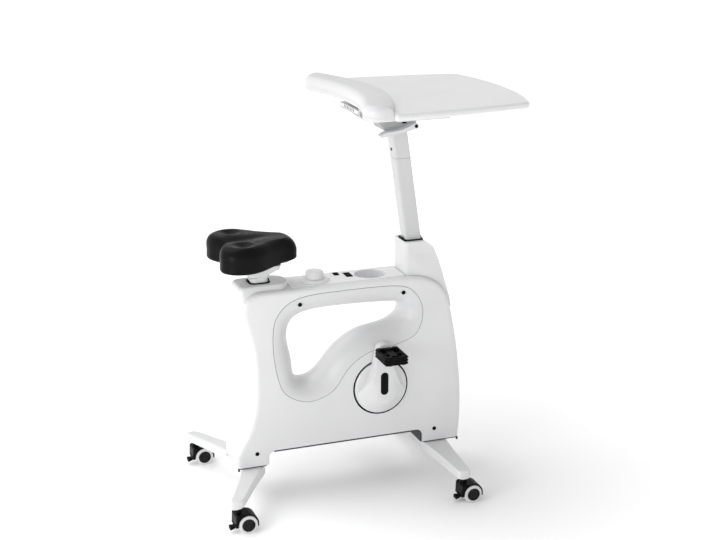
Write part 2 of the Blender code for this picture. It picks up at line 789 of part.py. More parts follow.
def build_knob():
    low = CONSOLE_TOP_Z + TOUCH_GAP
    high = low + KNOB_BASE_HEIGHT
    bore = KNOB_SHAFT_RADIUS + 0.0008
    rim = KNOB_BASE_RADIUS
    profile = [(bore, high), (KNOB_RADIUS + 0.004, high), (rim - 0.006, high - 0.0008),
               (rim - 0.0005, low + 0.0015), (rim, low), (bore, low), (bore, high)]
    knob_base = turned("knob_base", profile, (KNOB_X, 0, 0), steps=28)
    finish_node(knob_base, "knob_base", WHITE_SHELL)

    low = high + TOUCH_GAP
    shaft_end = CONSOLE_TOP_Z - 0.0145
    profile = [(0.0, KNOB_TOP_Z), (KNOB_RADIUS - 0.006, KNOB_TOP_Z),
               (KNOB_RADIUS - 0.0022, KNOB_TOP_Z - 0.0012), (KNOB_RADIUS - 0.0004, KNOB_TOP_Z - 0.0040),
               (KNOB_RADIUS, low + 0.002), (KNOB_RADIUS, low), (KNOB_SHAFT_RADIUS, low),
               (KNOB_SHAFT_RADIUS, shaft_end), (0.0, shaft_end)]
    knob = turned("knob", profile, (KNOB_X, 0, 0), steps=24)
    finish_node(knob, "resistance_knob", WHITE_SHELL)
    put_origin(knob, (KNOB_X, 0, CONSOLE_TOP_Z))


# Shrouds over the top ends of the two frame tubes


def shroud_plan(rear, front, rear_half, front_half, rear_radius, front_radius, steps):
    return rounded([(rear, -rear_half, rear_radius), (front, -front_half, front_radius),
                    (front, front_half, front_radius), (rear, rear_half, rear_radius)], steps)


def build_seat_shroud():
    top = SEAT_SHROUD_TOP_Z
    rear_x = SEAT_SHROUD_REAR_X
    front_x = SEAT_SHROUD_FRONT_X
    width = SEAT_SHROUD_HALF_WIDTH
    rear = smooth_path([(-0.350, 0.520), (-0.3545, 0.538), (-0.362, 0.560), (-0.373, 0.580),
                        (-0.3815, 0.5975), (-0.3770, 0.6085), (-0.3660, 0.6145), (-0.352, top)], 2)
    nose = arc((front_x - 0.008, top - 0.008), 0.008, 90, 0, 3)
    under = [(front_x, 0.590), (-0.250, 0.560), (-0.320, 0.520)]
    solid = plate("seat_cap", rear + nose + under, -0.062, 0.062, "XZ", edge=0.004, edge_steps=1)
    top_plan = shroud_plan(rear_x, front_x, width, width, 0.034, 0.036, 5)
    low_plan = shroud_plan(rear_x, front_x + 0.004, width + 0.014, width + 0.008, 0.030, 0.036, 5)
    limit = loft("seat_cap_sides", [at_level(top_plan, 0.640), at_level(top_plan, 0.612),
                                    at_level(low_plan, 0.560), at_level(low_plan, 0.500)])
    solid = keep_inside(solid, limit)
    tube_space = slanted_bar("tube_space", SEAT_FRAME, TUBE_SPACE_HALF, -0.12, 0.05, 0.006)
    tube_space = cut(tube_space, span_box("tube_space_top", (-0.5, 0.0), (-0.1, 0.1), (COLLAR_NECK_Z, 0.8)))
    neck_half = SEAT_NECK_HALF + TOUCH_GAP
    neck_space = slanted_bar("neck_space", SEAT_FRAME, neck_half, -0.03, 0.05, SEAT_NECK_CORNER)
    cap = cut(solid, body_solid("body_space", inset=-TOUCH_GAP), tube_space, neck_space)
    finish_node(cap, "seat_shroud", WHITE_SHELL)


def build_mast_shroud():
    rear_x = MAST_SHROUD_REAR_X
    front_x = MAST_SHROUD_FRONT_X
    width = MAST_SHROUD_HALF_WIDTH
    front = smooth_path([(0.250, 0.500), (0.246, 0.524), (0.233, 0.573), (0.220, 0.622), (0.209, 0.655),
                         (0.199, 0.676), (0.184, 0.688), (0.172, MAST_SHROUD_TOP_Z)], 2)
    side = [(rear_x, 0.500)] + front + [(rear_x, MAST_SHROUD_TOP_Z)]
    solid = plate("mast_cap", side, -0.065, 0.065, "XZ", edge=0.003, edge_steps=1)
    top_plan = shroud_plan(rear_x, front_x, width, width - 0.004, 0.009, 0.016, 4)
    low_plan = shroud_plan(rear_x, front_x, width, width + 0.014, 0.009, 0.016, 4)
    limit = loft("mast_cap_sides", [at_level(top_plan, 0.720), at_level(top_plan, 0.660),
                                    at_level(low_plan, 0.540), at_level(low_plan, 0.480)])
    solid = keep_inside(solid, limit)
    cap = cut(solid, body_solid("body_space", inset=-TOUCH_GAP),
              slanted_bar("tube_space", MAST_FRAME, TUBE_SPACE_HALF, -0.26, 0.05, 0.006))
    finish_node(cap, "column_shroud", WHITE_SHELL)


# Black guide collars where the post and the mast leave their shrouds

def build_collar(name, frame, center_x, bar_size, bar_corner, top_z, flange_half, neck=None):
    """A sleeve inside the frame tube, a thin flange over the shroud and a lug at either end."""
    side = (-0.1, 0.1)
    sleeve_half = FRAME_TUBE_BORE / 2 - TOUCH_GAP
    sleeve_top = top_z + 0.001 if neck is None else COLLAR_NECK_Z - TOUCH_GAP
    sleeve = slanted_bar("sleeve", frame, sleeve_half, -0.060, 0.03, 0.004)
    sleeve = cut(sleeve, span_box("sleeve_top", (-0.5, 0.5), side, (sleeve_top, top_z + 0.2)))
    if neck is not None:
        round_neck = slanted_bar("neck", frame, neck, -0.014, 0.03, SEAT_NECK_CORNER)
        round_neck = cut(round_neck, span_box("neck_top", (-0.5, 0.5), side, (top_z + 0.001, top_z + 0.2)))
        sleeve = union(sleeve, round_neck)
    outline = rectangle(flange_half, flange_half, bar_corner + 0.0045, 4, (center_x, 0.0))
    flange = plate("flange", outline, top_z + TOUCH_GAP, top_z + 0.0026, "XY")
    outline = rectangle(flange_half + 0.002, 0.008, 0.004, 2, (center_x, 0.0))
    collar = union(sleeve, flange, plate("lugs", outline, top_z + 0.0008, top_z + 0.0050, "XY"))
    collar = cut(collar, slanted_bar("collar_bore", frame, bar_size / 2 + TOUCH_GAP, -0.1, 0.06, bar_corner))
    finish_node(collar, name, BLACK_PLASTIC)


# Frame

def build_frame_tubes():
    """The two slanting tubes, with a bore for the post and one for the mast."""
    half = FRAME_TUBE_SIZE / 2
    bore = FRAME_TUBE_BORE / 2
    seat_low = (0.060 - SEAT_AXIS_Z) / math.cos(SEAT_LEAN)
    mast_low = (0.060 - MAST_AXIS_Z) / math.cos(MAST_LEAN)
    seat_tube = slanted_bar("seat_tube", SEAT_FRAME, half, seat_low, 0.05, 0.006)
    mast_tube = slanted_bar("mast_tube", MAST_FRAME, half, mast_low, 0.05, 0.006)
    side = (-0.1, 0.1)
    seat_tube = cut(seat_tube, span_box("seat_tube_top", (-0.5, 0.0), side, (SEAT_TUBE_TOP_Z, 0.8)),
                    span_box("seat_tube_foot", (-0.5, 0.0), side, (0.0, BEAM_BOTTOM_Z)),
                    slanted_bar("seat_bore", SEAT_FRAME, bore, -0.375, 0.05, 0.004))
    mast_tube = cut(mast_tube, span_box("mast_tube_top", (0.0, 0.5), side, (MAST_TUBE_TOP_Z, 0.9)),
                    span_box("mast_tube_foot", (0.0, 0.5), side, (0.0, FRAME_FOOT_Z)),
                    slanted_bar("mast_bore", MAST_FRAME, bore, -0.450, 0.05, 0.004))
    return seat_tube, mast_tube


def build_frame():
    seat_tube, mast_tube = build_frame_tubes()
    beam_side = (-BEAM_HALF_WIDTH, BEAM_HALF_WIDTH)
    pad_side = (-PAD_PLATE_HALF_WIDTH, PAD_PLATE_HALF_WIDTH)
    pad_z = (FRAME_FOOT_Z, FRAME_FOOT_Z + PAD_PLATE_THICKNESS)
    into_beam = BEAM_TOP_Z - 0.005
    pieces = [mast_tube,
              span_box("beam", (-0.335, 0.215), beam_side, (BEAM_BOTTOM_Z, BEAM_TOP_Z)),
              span_box("crank_post", (CRANK_X - 0.014, CRANK_X + 0.014), (-0.012, 0.0095),
                       (into_beam, CRANK_Z - 0.010)),
              cross_bar("crank_hub", HUB_RADIUS, CRANK_X, CRANK_Z, HUB_ENDS_Y[0], HUB_ENDS_Y[1], 28),
              span_box("wheel_post", (FLYWHEEL_X - 0.016, FLYWHEEL_X + 0.016), (-0.0125, 0.0125),
                       (into_beam, FLYWHEEL_Z + 0.016)),
              span_box("rear_post", (-0.344, -0.314), beam_side, (FRAME_FOOT_Z + 0.001, BEAM_TOP_Z - 0.002)),
              span_box("rear_pad", REAR_PAD_X, pad_side, pad_z),
              span_box("front_pad", FRONT_PAD_X, pad_side, pad_z)]
    frame = union(seat_tube, *pieces)
    frame = cut(frame,
                cross_bar("hub_bore", BEARING_RADIUS + TOUCH_GAP, CRANK_X, CRANK_Z, -0.1, 0.1, 28),
                cross_bar("axle_bore", FLYWHEEL_AXLE_RADIUS + TOUCH_GAP, FLYWHEEL_X, FLYWHEEL_Z,
                          -0.0105, 0.1, 16),
                cross_bar("pivot_bore", BRACKET_PIN_RADIUS + TOUCH_GAP, BRACKET_PIVOT[0], BRACKET_PIVOT[1],
                          0.004, 0.1, 14))
    finish_node(frame, "main_frame", WHITE_STEEL)


# Splayed legs


def build_leg(name, root_x, root_half, stem, end_half):
    """A leg across the bike: wide and level at the middle, tapering down to each caster."""
    stem_x, stem_y = stem
    root_y = LEG_ROOT_Y
    rings = []
    levels = []
    nose = [math.radians(a) for a in (84, 60, 30)]
    for side in (-1, 1):
        arm = []
        for angle in nose:
            arm.append((stem_y + LEG_NOSE * math.sin(angle), end_half * math.sqrt(math.cos(angle))))
        arm.append((stem_y, end_half))
        half_way = (stem_y + root_y) / 2
        arm.append((half_way, (end_half + root_half) / 2 - 0.002))
        arm.append((root_y, root_half))
        arm = [(side * y, half) for y, half in arm]
        levels += arm if side < 0 else arm[::-1]
    for y, half in levels:
        share = min(max((abs(y) - root_y) / (stem_y - root_y), 0.0), 1.2)
        center = root_x + (stem_x - root_x) * share
        part = min(share, 1.0)
        top = LEG_ROOT_TOP_Z + (LEG_END_TOP_Z - LEG_ROOT_TOP_Z) * part
        bottom = LEG_ROOT_BOTTOM_Z + (LEG_END_BOTTOM_Z - LEG_ROOT_BOTTOM_Z) * part
        corner = min(0.0045, half * 0.8)
        ring = rectangle(half, (top - bottom) / 2, corner, 2, (center, (top + bottom) / 2))
        rings.append([(a, y, b) for a, b in ring])
    leg = loft(name, rings)
    bore_top = LEG_END_TOP_Z - 0.004
    bores = [cylinder("stem_bore", STEM_RADIUS + 0.0004, (stem_x, y, 0.04), (stem_x, y, bore_top), 12)
             for y in (-stem_y, stem_y)]
    leg = cut(leg, *bores)
    finish_node(leg, name, WHITE_STEEL)


# Casters


def caster_hood(name, stem):
    """The fork: a central web with the stem on it and a hood over both wheels."""
    x, y = stem
    axle_x = x + CASTER_TRAIL
    axle_z = WHEEL_RADIUS
    side = [(x + HOOD_REAR, 0.020)]
    side += [(x - 0.004, 0.020), (axle_x, 0.012), (axle_x + HOOD_RADIUS - 0.001, 0.018)]
    side += arc((axle_x, axle_z), HOOD_RADIUS, -8, 82, 5)
    rear = x + HOOD_REAR
    side += [(x + 0.012, HOOD_TOP_Z - 0.0012), (x, HOOD_TOP_Z - 0.0008),
             (rear + 0.006, HOOD_TOP_Z - 0.0012), (rear + 0.0012, HOOD_TOP_Z - 0.0050)]
    hood = plate("hood", side, y - HOOD_HALF_WIDTH, y + HOOD_HALF_WIDTH, "XZ", edge=0.003, edge_steps=0)
    well_radius = WHEEL_RADIUS + 0.0018
    wells = []
    for direction in (-1, 1):
        low = y + direction * (WHEEL_INNER - 0.0010)
        high = y + direction * 0.05
        wells.append(cross_bar("well", well_radius, axle_x, axle_z, min(low, high), max(low, high), 18))
        wells.append(span_box("well_mouth", (x, axle_x + well_radius), (low, high), (-0.02, axle_z)))
    slot = span_box("brake_slot", (rear - 0.01, x), (y - 0.0095, y + 0.0095), (0.0, 0.0275))
    bore = cross_bar("axle_bore", 0.0034, axle_x, axle_z, y - 0.05, y + 0.05, 14)
    stem_pin = cylinder("stem", STEM_RADIUS, (x, y, 0.050), (x, y, LEG_END_TOP_Z - 0.0048), 12)
    washer = cylinder("washer", 0.0100, (x, y, 0.053), (x, y, LEG_END_BOTTOM_Z - 0.0004), 12)
    hood = union(hood, stem_pin, washer)
    hood = cut(hood, *wells, slot, bore)
    finish_node(hood, name, BLACK_PLASTIC)
    put_origin(hood, (x, y, LEG_END_BOTTOM_Z))


def caster_wheels(name, stem):
    """Both wheels of one caster and the axle that joins them."""
    x, y = stem
    inner = WHEEL_INNER
    outer = WHEEL_OUTER
    radius = WHEEL_RADIUS
    half = [(0.0, outer - 0.0010), (0.0190, outer), (radius - 0.0025, outer), (radius, outer - 0.0028),
            (radius - 0.0006, inner), (0.0030, inner)]
    profile = half + [(r, -h) for r, h in half][::-1]
    wheels = turned(name, profile, (x + CASTER_TRAIL, y, WHEEL_RADIUS), axis="Y", steps=18)
    finish_node(wheels, name, TYRE)
    put_origin(wheels, (x + CASTER_TRAIL, y, WHEEL_RADIUS))


def caster_brake(name, stem):
    """The foot tab of the brake, with its pivot barrel."""
    x, y = stem
    pivot_x = x + BRAKE_PIVOT[0]
    pivot_z = BRAKE_PIVOT[1]
    side = arc((pivot_x, pivot_z), 0.0036, 60, -60, 4)
    side += [(x - 0.0140, 0.0125), (x - 0.0235, 0.0095), (x - 0.0250, 0.0110), (x - 0.0250, 0.0190),
             (x - 0.0230, 0.0205), (x - 0.0155, 0.0195), (pivot_x - 0.002, pivot_z + 0.0032)]
    tab = plate(name, side[::-1], y - BRAKE_HALF_WIDTH, y + BRAKE_HALF_WIDTH, "XZ")
    finish_node(tab, name, BLACK_PLASTIC)
    put_origin(tab, (pivot_x, y, pivot_z))


CASTERS = [("rear_right", (REAR_STEM[0], -REAR_STEM[1])), ("rear_left", REAR_STEM),
           ("front_right", (FRONT_STEM[0], -FRONT_STEM[1])), ("front_left", FRONT_STEM)]


def build_casters():
    for name, stem in CASTERS:
        caster_hood(name + "_caster_fork", stem)
        caster_wheels(name + "_caster_wheels", stem)
        caster_brake(name + "_caster_brake", stem)


# Drive

def build_drive():
    axle = cross_bar("axle", AXLE_RADIUS, CRANK_X, CRANK_Z, -0.0800, 0.0800, 20)
    finish_node(axle, "crank_axle", STEEL)
    put_origin(axle, (CRANK_X, 0, CRANK_Z))
    inner = AXLE_RADIUS + TOUCH_GAP
    recess = 0.0005
    for name, low in (("right_crank_bearing", HUB_ENDS_Y[0] + recess),
                      ("left_crank_bearing", HUB_ENDS_Y[1] - recess - BEARING_WIDTH)):
        high = low + BEARING_WIDTH
        profile = [(inner, high), (BEARING_RADIUS, high), (BEARING_RADIUS, low), (inner, low), (inner, high)]
        bearing = turned(name, profile, (CRANK_X, 0, CRANK_Z), axis="Y", steps=20)
        finish_node(bearing, name, STEEL)
    build_pulley()
    build_flywheel()
    build_belt()
    build_cranks()


def build_pulley():
    low = BELT_Y - 0.0060
    high = BELT_Y + 0.0060
    boss = high + 0.004
    rim = PULLEY_RADIUS
    rim_inside = rim - 0.009
    bore = AXLE_RADIUS + TOUCH_GAP
    web = (BELT_Y - 0.0022, BELT_Y + 0.0022)
    profile = [(bore, boss), (0.017, boss), (0.018, web[1]), (rim_inside, web[1]), (rim_inside, high),
               (rim, high), (rim, low), (rim_inside, low), (rim_inside, web[0]), (bore, web[0]), (bore, boss)]
    pulley = turned("pulley", profile, (CRANK_X, 0, CRANK_Z), axis="Y", steps=28)
    holes = []
    for i in range(5):
        angle = math.radians(72 * i + 18)
        x = CRANK_X + PULLEY_HOLE_CIRCLE * math.cos(angle)
        z = CRANK_Z + PULLEY_HOLE_CIRCLE * math.sin(angle)
        holes.append(cross_bar("hole", PULLEY_HOLE_RADIUS, x, z, -0.02, 0.06, 8))
    pulley = cut(pulley, *holes)
    finish_node(pulley, "drive_pulley", BLACK_PLASTIC)


def build_flywheel():
    axle = cross_bar("axle", FLYWHEEL_AXLE_RADIUS, FLYWHEEL_X, FLYWHEEL_Z, -0.0095, 0.0560, 16)
    finish_node(axle, "flywheel_axle", STEEL)
    bore = FLYWHEEL_AXLE_RADIUS + TOUCH_GAP
    small = FLYWHEEL_PULLEY_RADIUS
    small_low = BELT_Y - 0.0060
    rim = FLYWHEEL_RADIUS
    rim_inside = rim - 0.014
    low, high = FLYWHEEL_Y
    web_high = high - 0.006
    profile = [(bore, web_high), (rim_inside, web_high), (rim_inside, high), (rim, high), (rim, low),
               (rim_inside, low), (rim_inside, low + 0.006), (small + 0.002, low + 0.004),
               (small, BELT_Y + 0.0058), (small, small_low), (bore, small_low), (bore, web_high)]
    wheel = turned("flywheel", profile, (FLYWHEEL_X, 0, FLYWHEEL_Z), axis="Y", steps=24)
    finish_node(wheel, "flywheel", CAST_METAL)
    put_origin(wheel, (FLYWHEEL_X, 0, FLYWHEEL_Z))


def belt_path(extra):
    """The closed path round both pulleys at a distance extra from their rims."""
    span = Vector((CRANK_X - FLYWHEEL_X, CRANK_Z - FLYWHEEL_Z))
    along = math.degrees(math.atan2(span.y, span.x))
    tilt = math.degrees(math.asin((PULLEY_RADIUS - FLYWHEEL_PULLEY_RADIUS) / span.length))
    big = arc((CRANK_X, CRANK_Z), PULLEY_RADIUS + extra, along - 90 - tilt, along + 90 + tilt, 22)
    small = arc((FLYWHEEL_X, FLYWHEEL_Z), FLYWHEEL_PULLEY_RADIUS + extra,
                along + 90 + tilt, along + 270 - tilt, 6)
    return big + small


def build_belt():
    low = BELT_Y - BELT_WIDTH / 2
    high = BELT_Y + BELT_WIDTH / 2
    belt = plate("belt", belt_path(BELT_GAP + BELT_THICKNESS), low, high, "XZ")
    belt = cut(belt, plate("belt_inside", belt_path(BELT_GAP), low - 0.01, high + 0.01, "XZ"))
    finish_node(belt, "drive_belt", RUBBER)


def arm_outline(half):
    """The closed outline of the arm or its crest, from the right half's points, bottom to top."""
    right = smooth_path(half, 2)
    left = [(-x, z) for x, z in right[1:-1]]
    return [tuple(place) for place in right] + left[::-1]


def crank_solid():
    """The disc in the body's side and the arm that swells out of it and tapers up to the pedal."""
    rim = CRANK_DISC_RADIUS
    face = CRANK_DISC_FACE
    disc = turned("disc", [(0.0, face), (rim - 0.019, face), (rim - 0.003, face - 0.0010),
                           (rim, face - 0.0040), (rim, CRANK_BACK_Y), (0.0, CRANK_BACK_Y)],
                  (0, 0, 0), axis="Y", steps=32)
    foot = arm_outline(ARM_FOOT)
    crest = arm_outline(ARM_CREST)
    rise = CRANK_ARM_FACE - face
    rings = [[(x, BODY_HALF_WIDTH + 0.0030, z) for x, z in foot]]
    for share, low_height, high_height in ARM_SWELL:
        ring = []
        for a, b in zip(foot, crest):
            up = min(max((a[1] + 0.012) / 0.050, 0.0), 1.0)
            height = low_height + (high_height - low_height) * up * up * (3 - 2 * up)
            ring.append((a[0] + (b[0] - a[0]) * share, face + rise * height, a[1] + (b[1] - a[1]) * share))
        rings.append(ring)
    arm = loft("arm", rings)
    crank = union(disc, arm)
    pocket = plate("pocket", cap_outline(), CRANK_ARM_FACE - 0.0035, 0.12, "XZ", inset=-TOUCH_GAP)
    return cut(crank, pocket, cross_bar("bore", AXLE_RADIUS + TOUCH_GAP, 0, 0, 0.03, 0.0803, 20),
               cross_bar("bore", 0.0060 + TOUCH_GAP, 0, CRANK_LENGTH, CRANK_ARM_FACE - 0.014, 0.12, 16))


def cap_outline():
    """The pill-shaped black cap over the axle, with its long end towards the pedal."""
    half = 0.0111
    low = -0.0131
    high = 0.0531
    radius = 0.0110
    return rounded([(-half, low, radius), (half, low, radius), (half, high, radius),
                    (-half, high, radius)], 6)


def spindle_solid():
    shoulder = (CRANK_ARM_FACE + 0.0005, PEDAL_INNER - 0.0010)
    root = CRANK_ARM_FACE - 0.0137
    profile = [(0.0, 0.1800), (0.0042, 0.1800), (0.0042, PEDAL_INNER + 0.002), (0.0075, shoulder[1]),
               (0.0075, shoulder[0]), (0.0060, CRANK_ARM_FACE + 0.0002), (0.0060, root), (0.0, root)]
    return turned("spindle", profile, (0, 0, CRANK_LENGTH), axis="Y", steps=14)


def build_cranks():
    for side, name in ((-1, "right"), (1, "left")):
        up = -side
        cap = plate("cap", cap_outline(), CRANK_ARM_FACE - 0.0032, CRANK_ARM_FACE + 0.0004, "XZ")
        # The placing mirrors the solid, so its faces are turned back afterwards
        place = Matrix.Translation((CRANK_X, 0, CRANK_Z)) @ Matrix.Diagonal((1, side, up, 1))
        for made, node, material in ((crank_solid(), name + "_crank", WHITE_SHELL),
                                     (cap, name + "_crank_cap", BLACK_PLASTIC),
                                     (spindle_solid(), name + "_pedal_spindle", STEEL)):
            made.data.transform(place)
            made.data.flip_normals()
            finish_node(made, node, material)
            put_origin(made, (CRANK_X, 0, CRANK_Z))
        build_pedal(name + "_pedal", side, CRANK_Z + up * CRANK_LENGTH)


def build_pedal(name, side, z):
    """A platform pedal: a ribbed frame round two foot bars and the spindle's barrel."""
    half = PEDAL_LENGTH / 2
    low = PEDAL_INNER
    high = PEDAL_INNER + PEDAL_WIDTH
    front = CRANK_X + half
    rear = CRANK_X - half
    outline = rounded([(rear, low, 0.008), (front, low, 0.008), (front, high - 0.006, 0.010),
                       (front - 0.010, high, 0.006), (rear + 0.010, high, 0.006),
                       (rear, high - 0.006, 0.010)], 2)
    tread = plate("tread", outline, -PEDAL_HEIGHT / 2, PEDAL_HEIGHT / 2, "XY", edge=0.002, edge_steps=0)
    gap_low = low + 0.014
    gap_high = high - 0.012
    middle = (gap_low + gap_high) / 2
    rib = 0.003
    gaps = []
    for direction in (-1, 1):
        across = (CRANK_X + direction * 0.0105, CRANK_X + direction * (half - 0.008))
        for along in ((gap_low, middle - rib), (middle + rib, gap_high)):
            gaps.append(span_box("gap", across, along, (-0.03, 0.03)))
        gaps.append(span_box("dish", (CRANK_X - 0.02, CRANK_X + 0.02), (gap_low + 0.004, gap_high - 0.004),
                             (direction * 0.0085, direction * 0.03)))
    for direction in (-1, 1):
        height = (direction * PEDAL_LIP_Z, direction * 0.03)
        gaps.append(span_box("notch", (CRANK_X - 0.05, CRANK_X + 0.05), (low + 0.020, high - 0.024), height))
        gaps.append(span_box("notch", (CRANK_X - 0.015, CRANK_X + 0.015), (high - 0.014, high + 0.01), height))
        gaps.append(span_box("notch", (CRANK_X - 0.018, CRANK_X + 0.018), (low - 0.01, low + 0.010), height))
    tread = cut(tread, *gaps)
    tread = cut(tread, cross_bar("bore", 0.0045, CRANK_X, 0, low - 0.01, 0.1805, 14),
                cross_bar("counterbore", 0.0080, CRANK_X, 0, low - 0.01, low + 0.003, 14))
    tread.data.transform(Matrix.Translation((0, 0, z)) @ Matrix.Diagonal((1, side, 1, 1)))
    if side < 0:
        tread.data.flip_normals()
    finish_node(tread, name, BLACK_PLASTIC)
    put_origin(tread, (CRANK_X, side * (low + high) / 2, z))


# Resistance gear inside the body

def build_resistance():
    inner = FLYWHEEL_RADIUS + 0.0035
    outer = inner + 0.0060
    hub = (FLYWHEEL_X, FLYWHEEL_Z)
    outline = arc(hub, outer, -24, 52, 9) + arc(hub, inner, 52, -24, 9)
    low = FLYWHEEL_Y[0] - 0.0005
    shoe = plate("shoe", outline, low, FLYWHEEL_Y[1] + 0.0005, "XZ")
    x, z = BRACKET_PIVOT
    outline = rounded([(x - 0.009, z - 0.009, 0.003), (x + 0.010, z - 0.009, 0.003),
                       (x + 0.010, z + 0.006, 0.003), (-0.0955, 0.1980, 0), (-0.1040, 0.1870, 0)], 3)
    arm = plate("arm", outline, low, low + 0.0050, "XZ")
    pin = cross_bar("pin", BRACKET_PIN_RADIUS, x, z, 0.0045, 0.0360, 14)
    lug = box("lug", (-0.1170, 0.0385, 0.2560), (-0.1040, 0.0475, 0.2860))
    bracket = union(shoe, arm, pin, lug)
    finish_node(bracket, "magnet_bracket", STEEL)
    put_origin(bracket, (x, 0, z))

    route = [(KNOB_X + 0.012, 0.030, 0.5930), (KNOB_X + 0.004, 0.036, 0.5900),
             (KNOB_X - 0.030, 0.046, 0.5870), (-0.225, 0.046, 0.586), (-0.275, 0.046, 0.580),
             (-0.302, 0.046, 0.555), (-0.305, 0.046, 0.500),
             (-0.296, 0.047, 0.420), (-0.292, 0.050, 0.340), (-0.280, 0.057, 0.280), (-0.250, 0.057, 0.256),
             (-0.190, 0.057, 0.250), (-0.140, 0.057, 0.256), (-0.112, 0.056, 0.264)]
    cable = tube("cable", smooth_path(route, 2), 0.0022, 0)
    finish_node(cable, "resistance_cable", RUBBER)


# Seat


def build_gas_spring(name, frame, low, high, bore_low):
    """A gas spring's cylinder, standing in a frame tube, with its bore open at the top."""
    body = cylinder("gas", GAS_RADIUS, (0, 0, low), (0, 0, high), 20)
    bore = cylinder("gas_bore", ROD_BORE, (0, 0, bore_low), (0, 0, high + 0.01), 14)
    gas = cut(body, bore)
    gas.data.transform(frame)
    finish_node(gas, name, BLACK_PLASTIC)


def build_bar(name, frame, size, corner, low, high, rod_low):
    """A hollow bar with a closed top, from which the gas spring's rod hangs."""
    bar = slanted_bar("bar", frame, size / 2, low, high, corner)
    hollow = slanted_bar("bar_hollow", frame, size / 2 - BAR_WALL, low - 0.01, high - 2 * BAR_WALL,
                         max(corner - BAR_WALL, 0.003))
    bar = cut(bar, hollow)
    rod = cylinder("rod", ROD_RADIUS, (0, 0, rod_low), (0, 0, high - 0.003), 14)
    rod.data.transform(frame)
    bar = union(bar, rod)
    finish_node(bar, name, WHITE_STEEL)
    return bar


def saddle_outline():
    """The saddle seen from above: two rear lobes, a notch between them and a short nose."""
    half = [(-0.394, 0.0), (-0.403, 0.022), (-0.4190, 0.052), (-0.4190, 0.086), (-0.395, 0.113),
            (-0.352, 0.122), (-0.312, 0.106), (-0.272, 0.074), (-0.235, 0.052), (-0.208, 0.044),
            (-0.196, 0.031), (-0.1925, 0.0)]
    other = [(x, -y) for x, y in half[1:-1]][::-1]
    return half + other


def saddle_height(x, y):
    """The top surface: a crown over each lobe with a dimple, a channel between, a lower nose."""
    lobe = 0.004 * math.exp(-(((x + 0.358) / 0.05) ** 2 + ((abs(y) - 0.070) / 0.040) ** 2))
    dimple = 0.0055 * math.exp(-(((x + 0.357) / 0.016) ** 2 + ((abs(y) - 0.070) / 0.016) ** 2))
    channel = 0.0075 * math.exp(-(y / 0.020) ** 2) * (1 / (1 + math.exp((x + 0.290) / 0.02)))
    nose = 0.006 * (1 / (1 + math.exp(-(x + 0.235) / 0.014)))
    return SADDLE_TOP_Z + lobe - dimple - channel - nose


def build_saddle():
    outline = even_spacing(smooth_path(saddle_outline(), 5, closed=True), 50)
    center = Vector(SADDLE_CENTER)
    rings = []
    for scale, rise in SADDLE_RINGS:
        ring = []
        for x, y in outline:
            place = center + (Vector((x, y)) - center) * scale
            nose_lift = 0.008 * (1 / (1 + math.exp(-(x + 0.250) / 0.02)))
            lift = nose_lift if rise < 0.03 else 0.0
            ring.append((place.x, place.y, SADDLE_BOTTOM_Z + rise + lift))
        rings.append(ring)
    for scale, drop in SADDLE_CROWN:
        ring = []
        for x, y in outline:
            place = center + (Vector((x, y)) - center) * scale
            front = 1 / (1 + math.exp(-(x + 0.222) / 0.008))
            ring.append((place.x, place.y, saddle_height(place.x, place.y) - drop * (1 - 0.65 * front)))
        rings.append(ring)
    saddle = loft("saddle", rings)
    flat_z = SADDLE_BASE_TOP_Z + TOUCH_GAP
    saddle = cut(saddle, box("saddle_floor", (-0.6, -0.3, 0.5), (0.0, 0.3, flat_z)))
    finish_node(saddle, "saddle", BLACK_SKIN, 60)

    base_outline = [tuple(center + (Vector(p) - center) * SADDLE_BASE_SHARE) for p in
                    even_spacing(smooth_path(saddle_outline(), 5, closed=True), 32)]
    base = plate("saddle_base", base_outline[::-1], SADDLE_BASE_TOP_Z - SADDLE_BASE_THICKNESS,
                 SADDLE_BASE_TOP_Z, "XY")
    finish_node(base, "saddle_base", BLACK_PLASTIC)


def build_adapter(x, lever_x):
    """The casting that spreads from the post to the saddle, with two lugs for the lever."""
    rings = []
    levels = [(ADAPTER_BOTTOM_Z, 0.0270, 0.0270, 0.0), (0.6385, 0.0290, 0.0285, 0.001),
              (0.6470, 0.0400, 0.0340, 0.004), (0.6530, 0.0500, 0.0390, 0.006),
              (ADAPTER_TOP_Z, 0.0540, 0.0420, 0.006)]
    for z, half_x, half_y, shift in levels:
        corner = min(half_x, half_y) * 0.45
        rings.append(at_level(rectangle(half_x, half_y, corner, 4, (x + shift, 0.0)), z))
    adapter = loft("adapter", rings)
    socket_half = SEAT_POST_SIZE / 2 + TOUCH_GAP
    adapter = cut(adapter, slanted_bar("socket", SEAT_FRAME, socket_half, -0.02, SEAT_POST_TOP + 0.0095,
                                       SEAT_POST_CORNER))
    ears = [span_box("ear", (lever_x + side * 0.0105, lever_x + side * 0.0140), (0.0280, 0.0450),
                     (0.6415, 0.6560)) for side in (-1, 1)]
    adapter = union(adapter, *ears)
    bore_ends = [(lever_x + side * 0.03, SEAT_LEVER_Y, SEAT_LEVER_Z) for side in (-1, 1)]
    adapter = cut(adapter, cylinder("ear_bore", 0.0023, bore_ends[0], bore_ends[1], 10),
                  span_box("lever_space", (lever_x - 0.0102, lever_x + 0.0102), (0.0352, 0.05),
                           (0.640, 0.6532)))
    finish_node(adapter, "seat_adapter", GREY_TRIM)


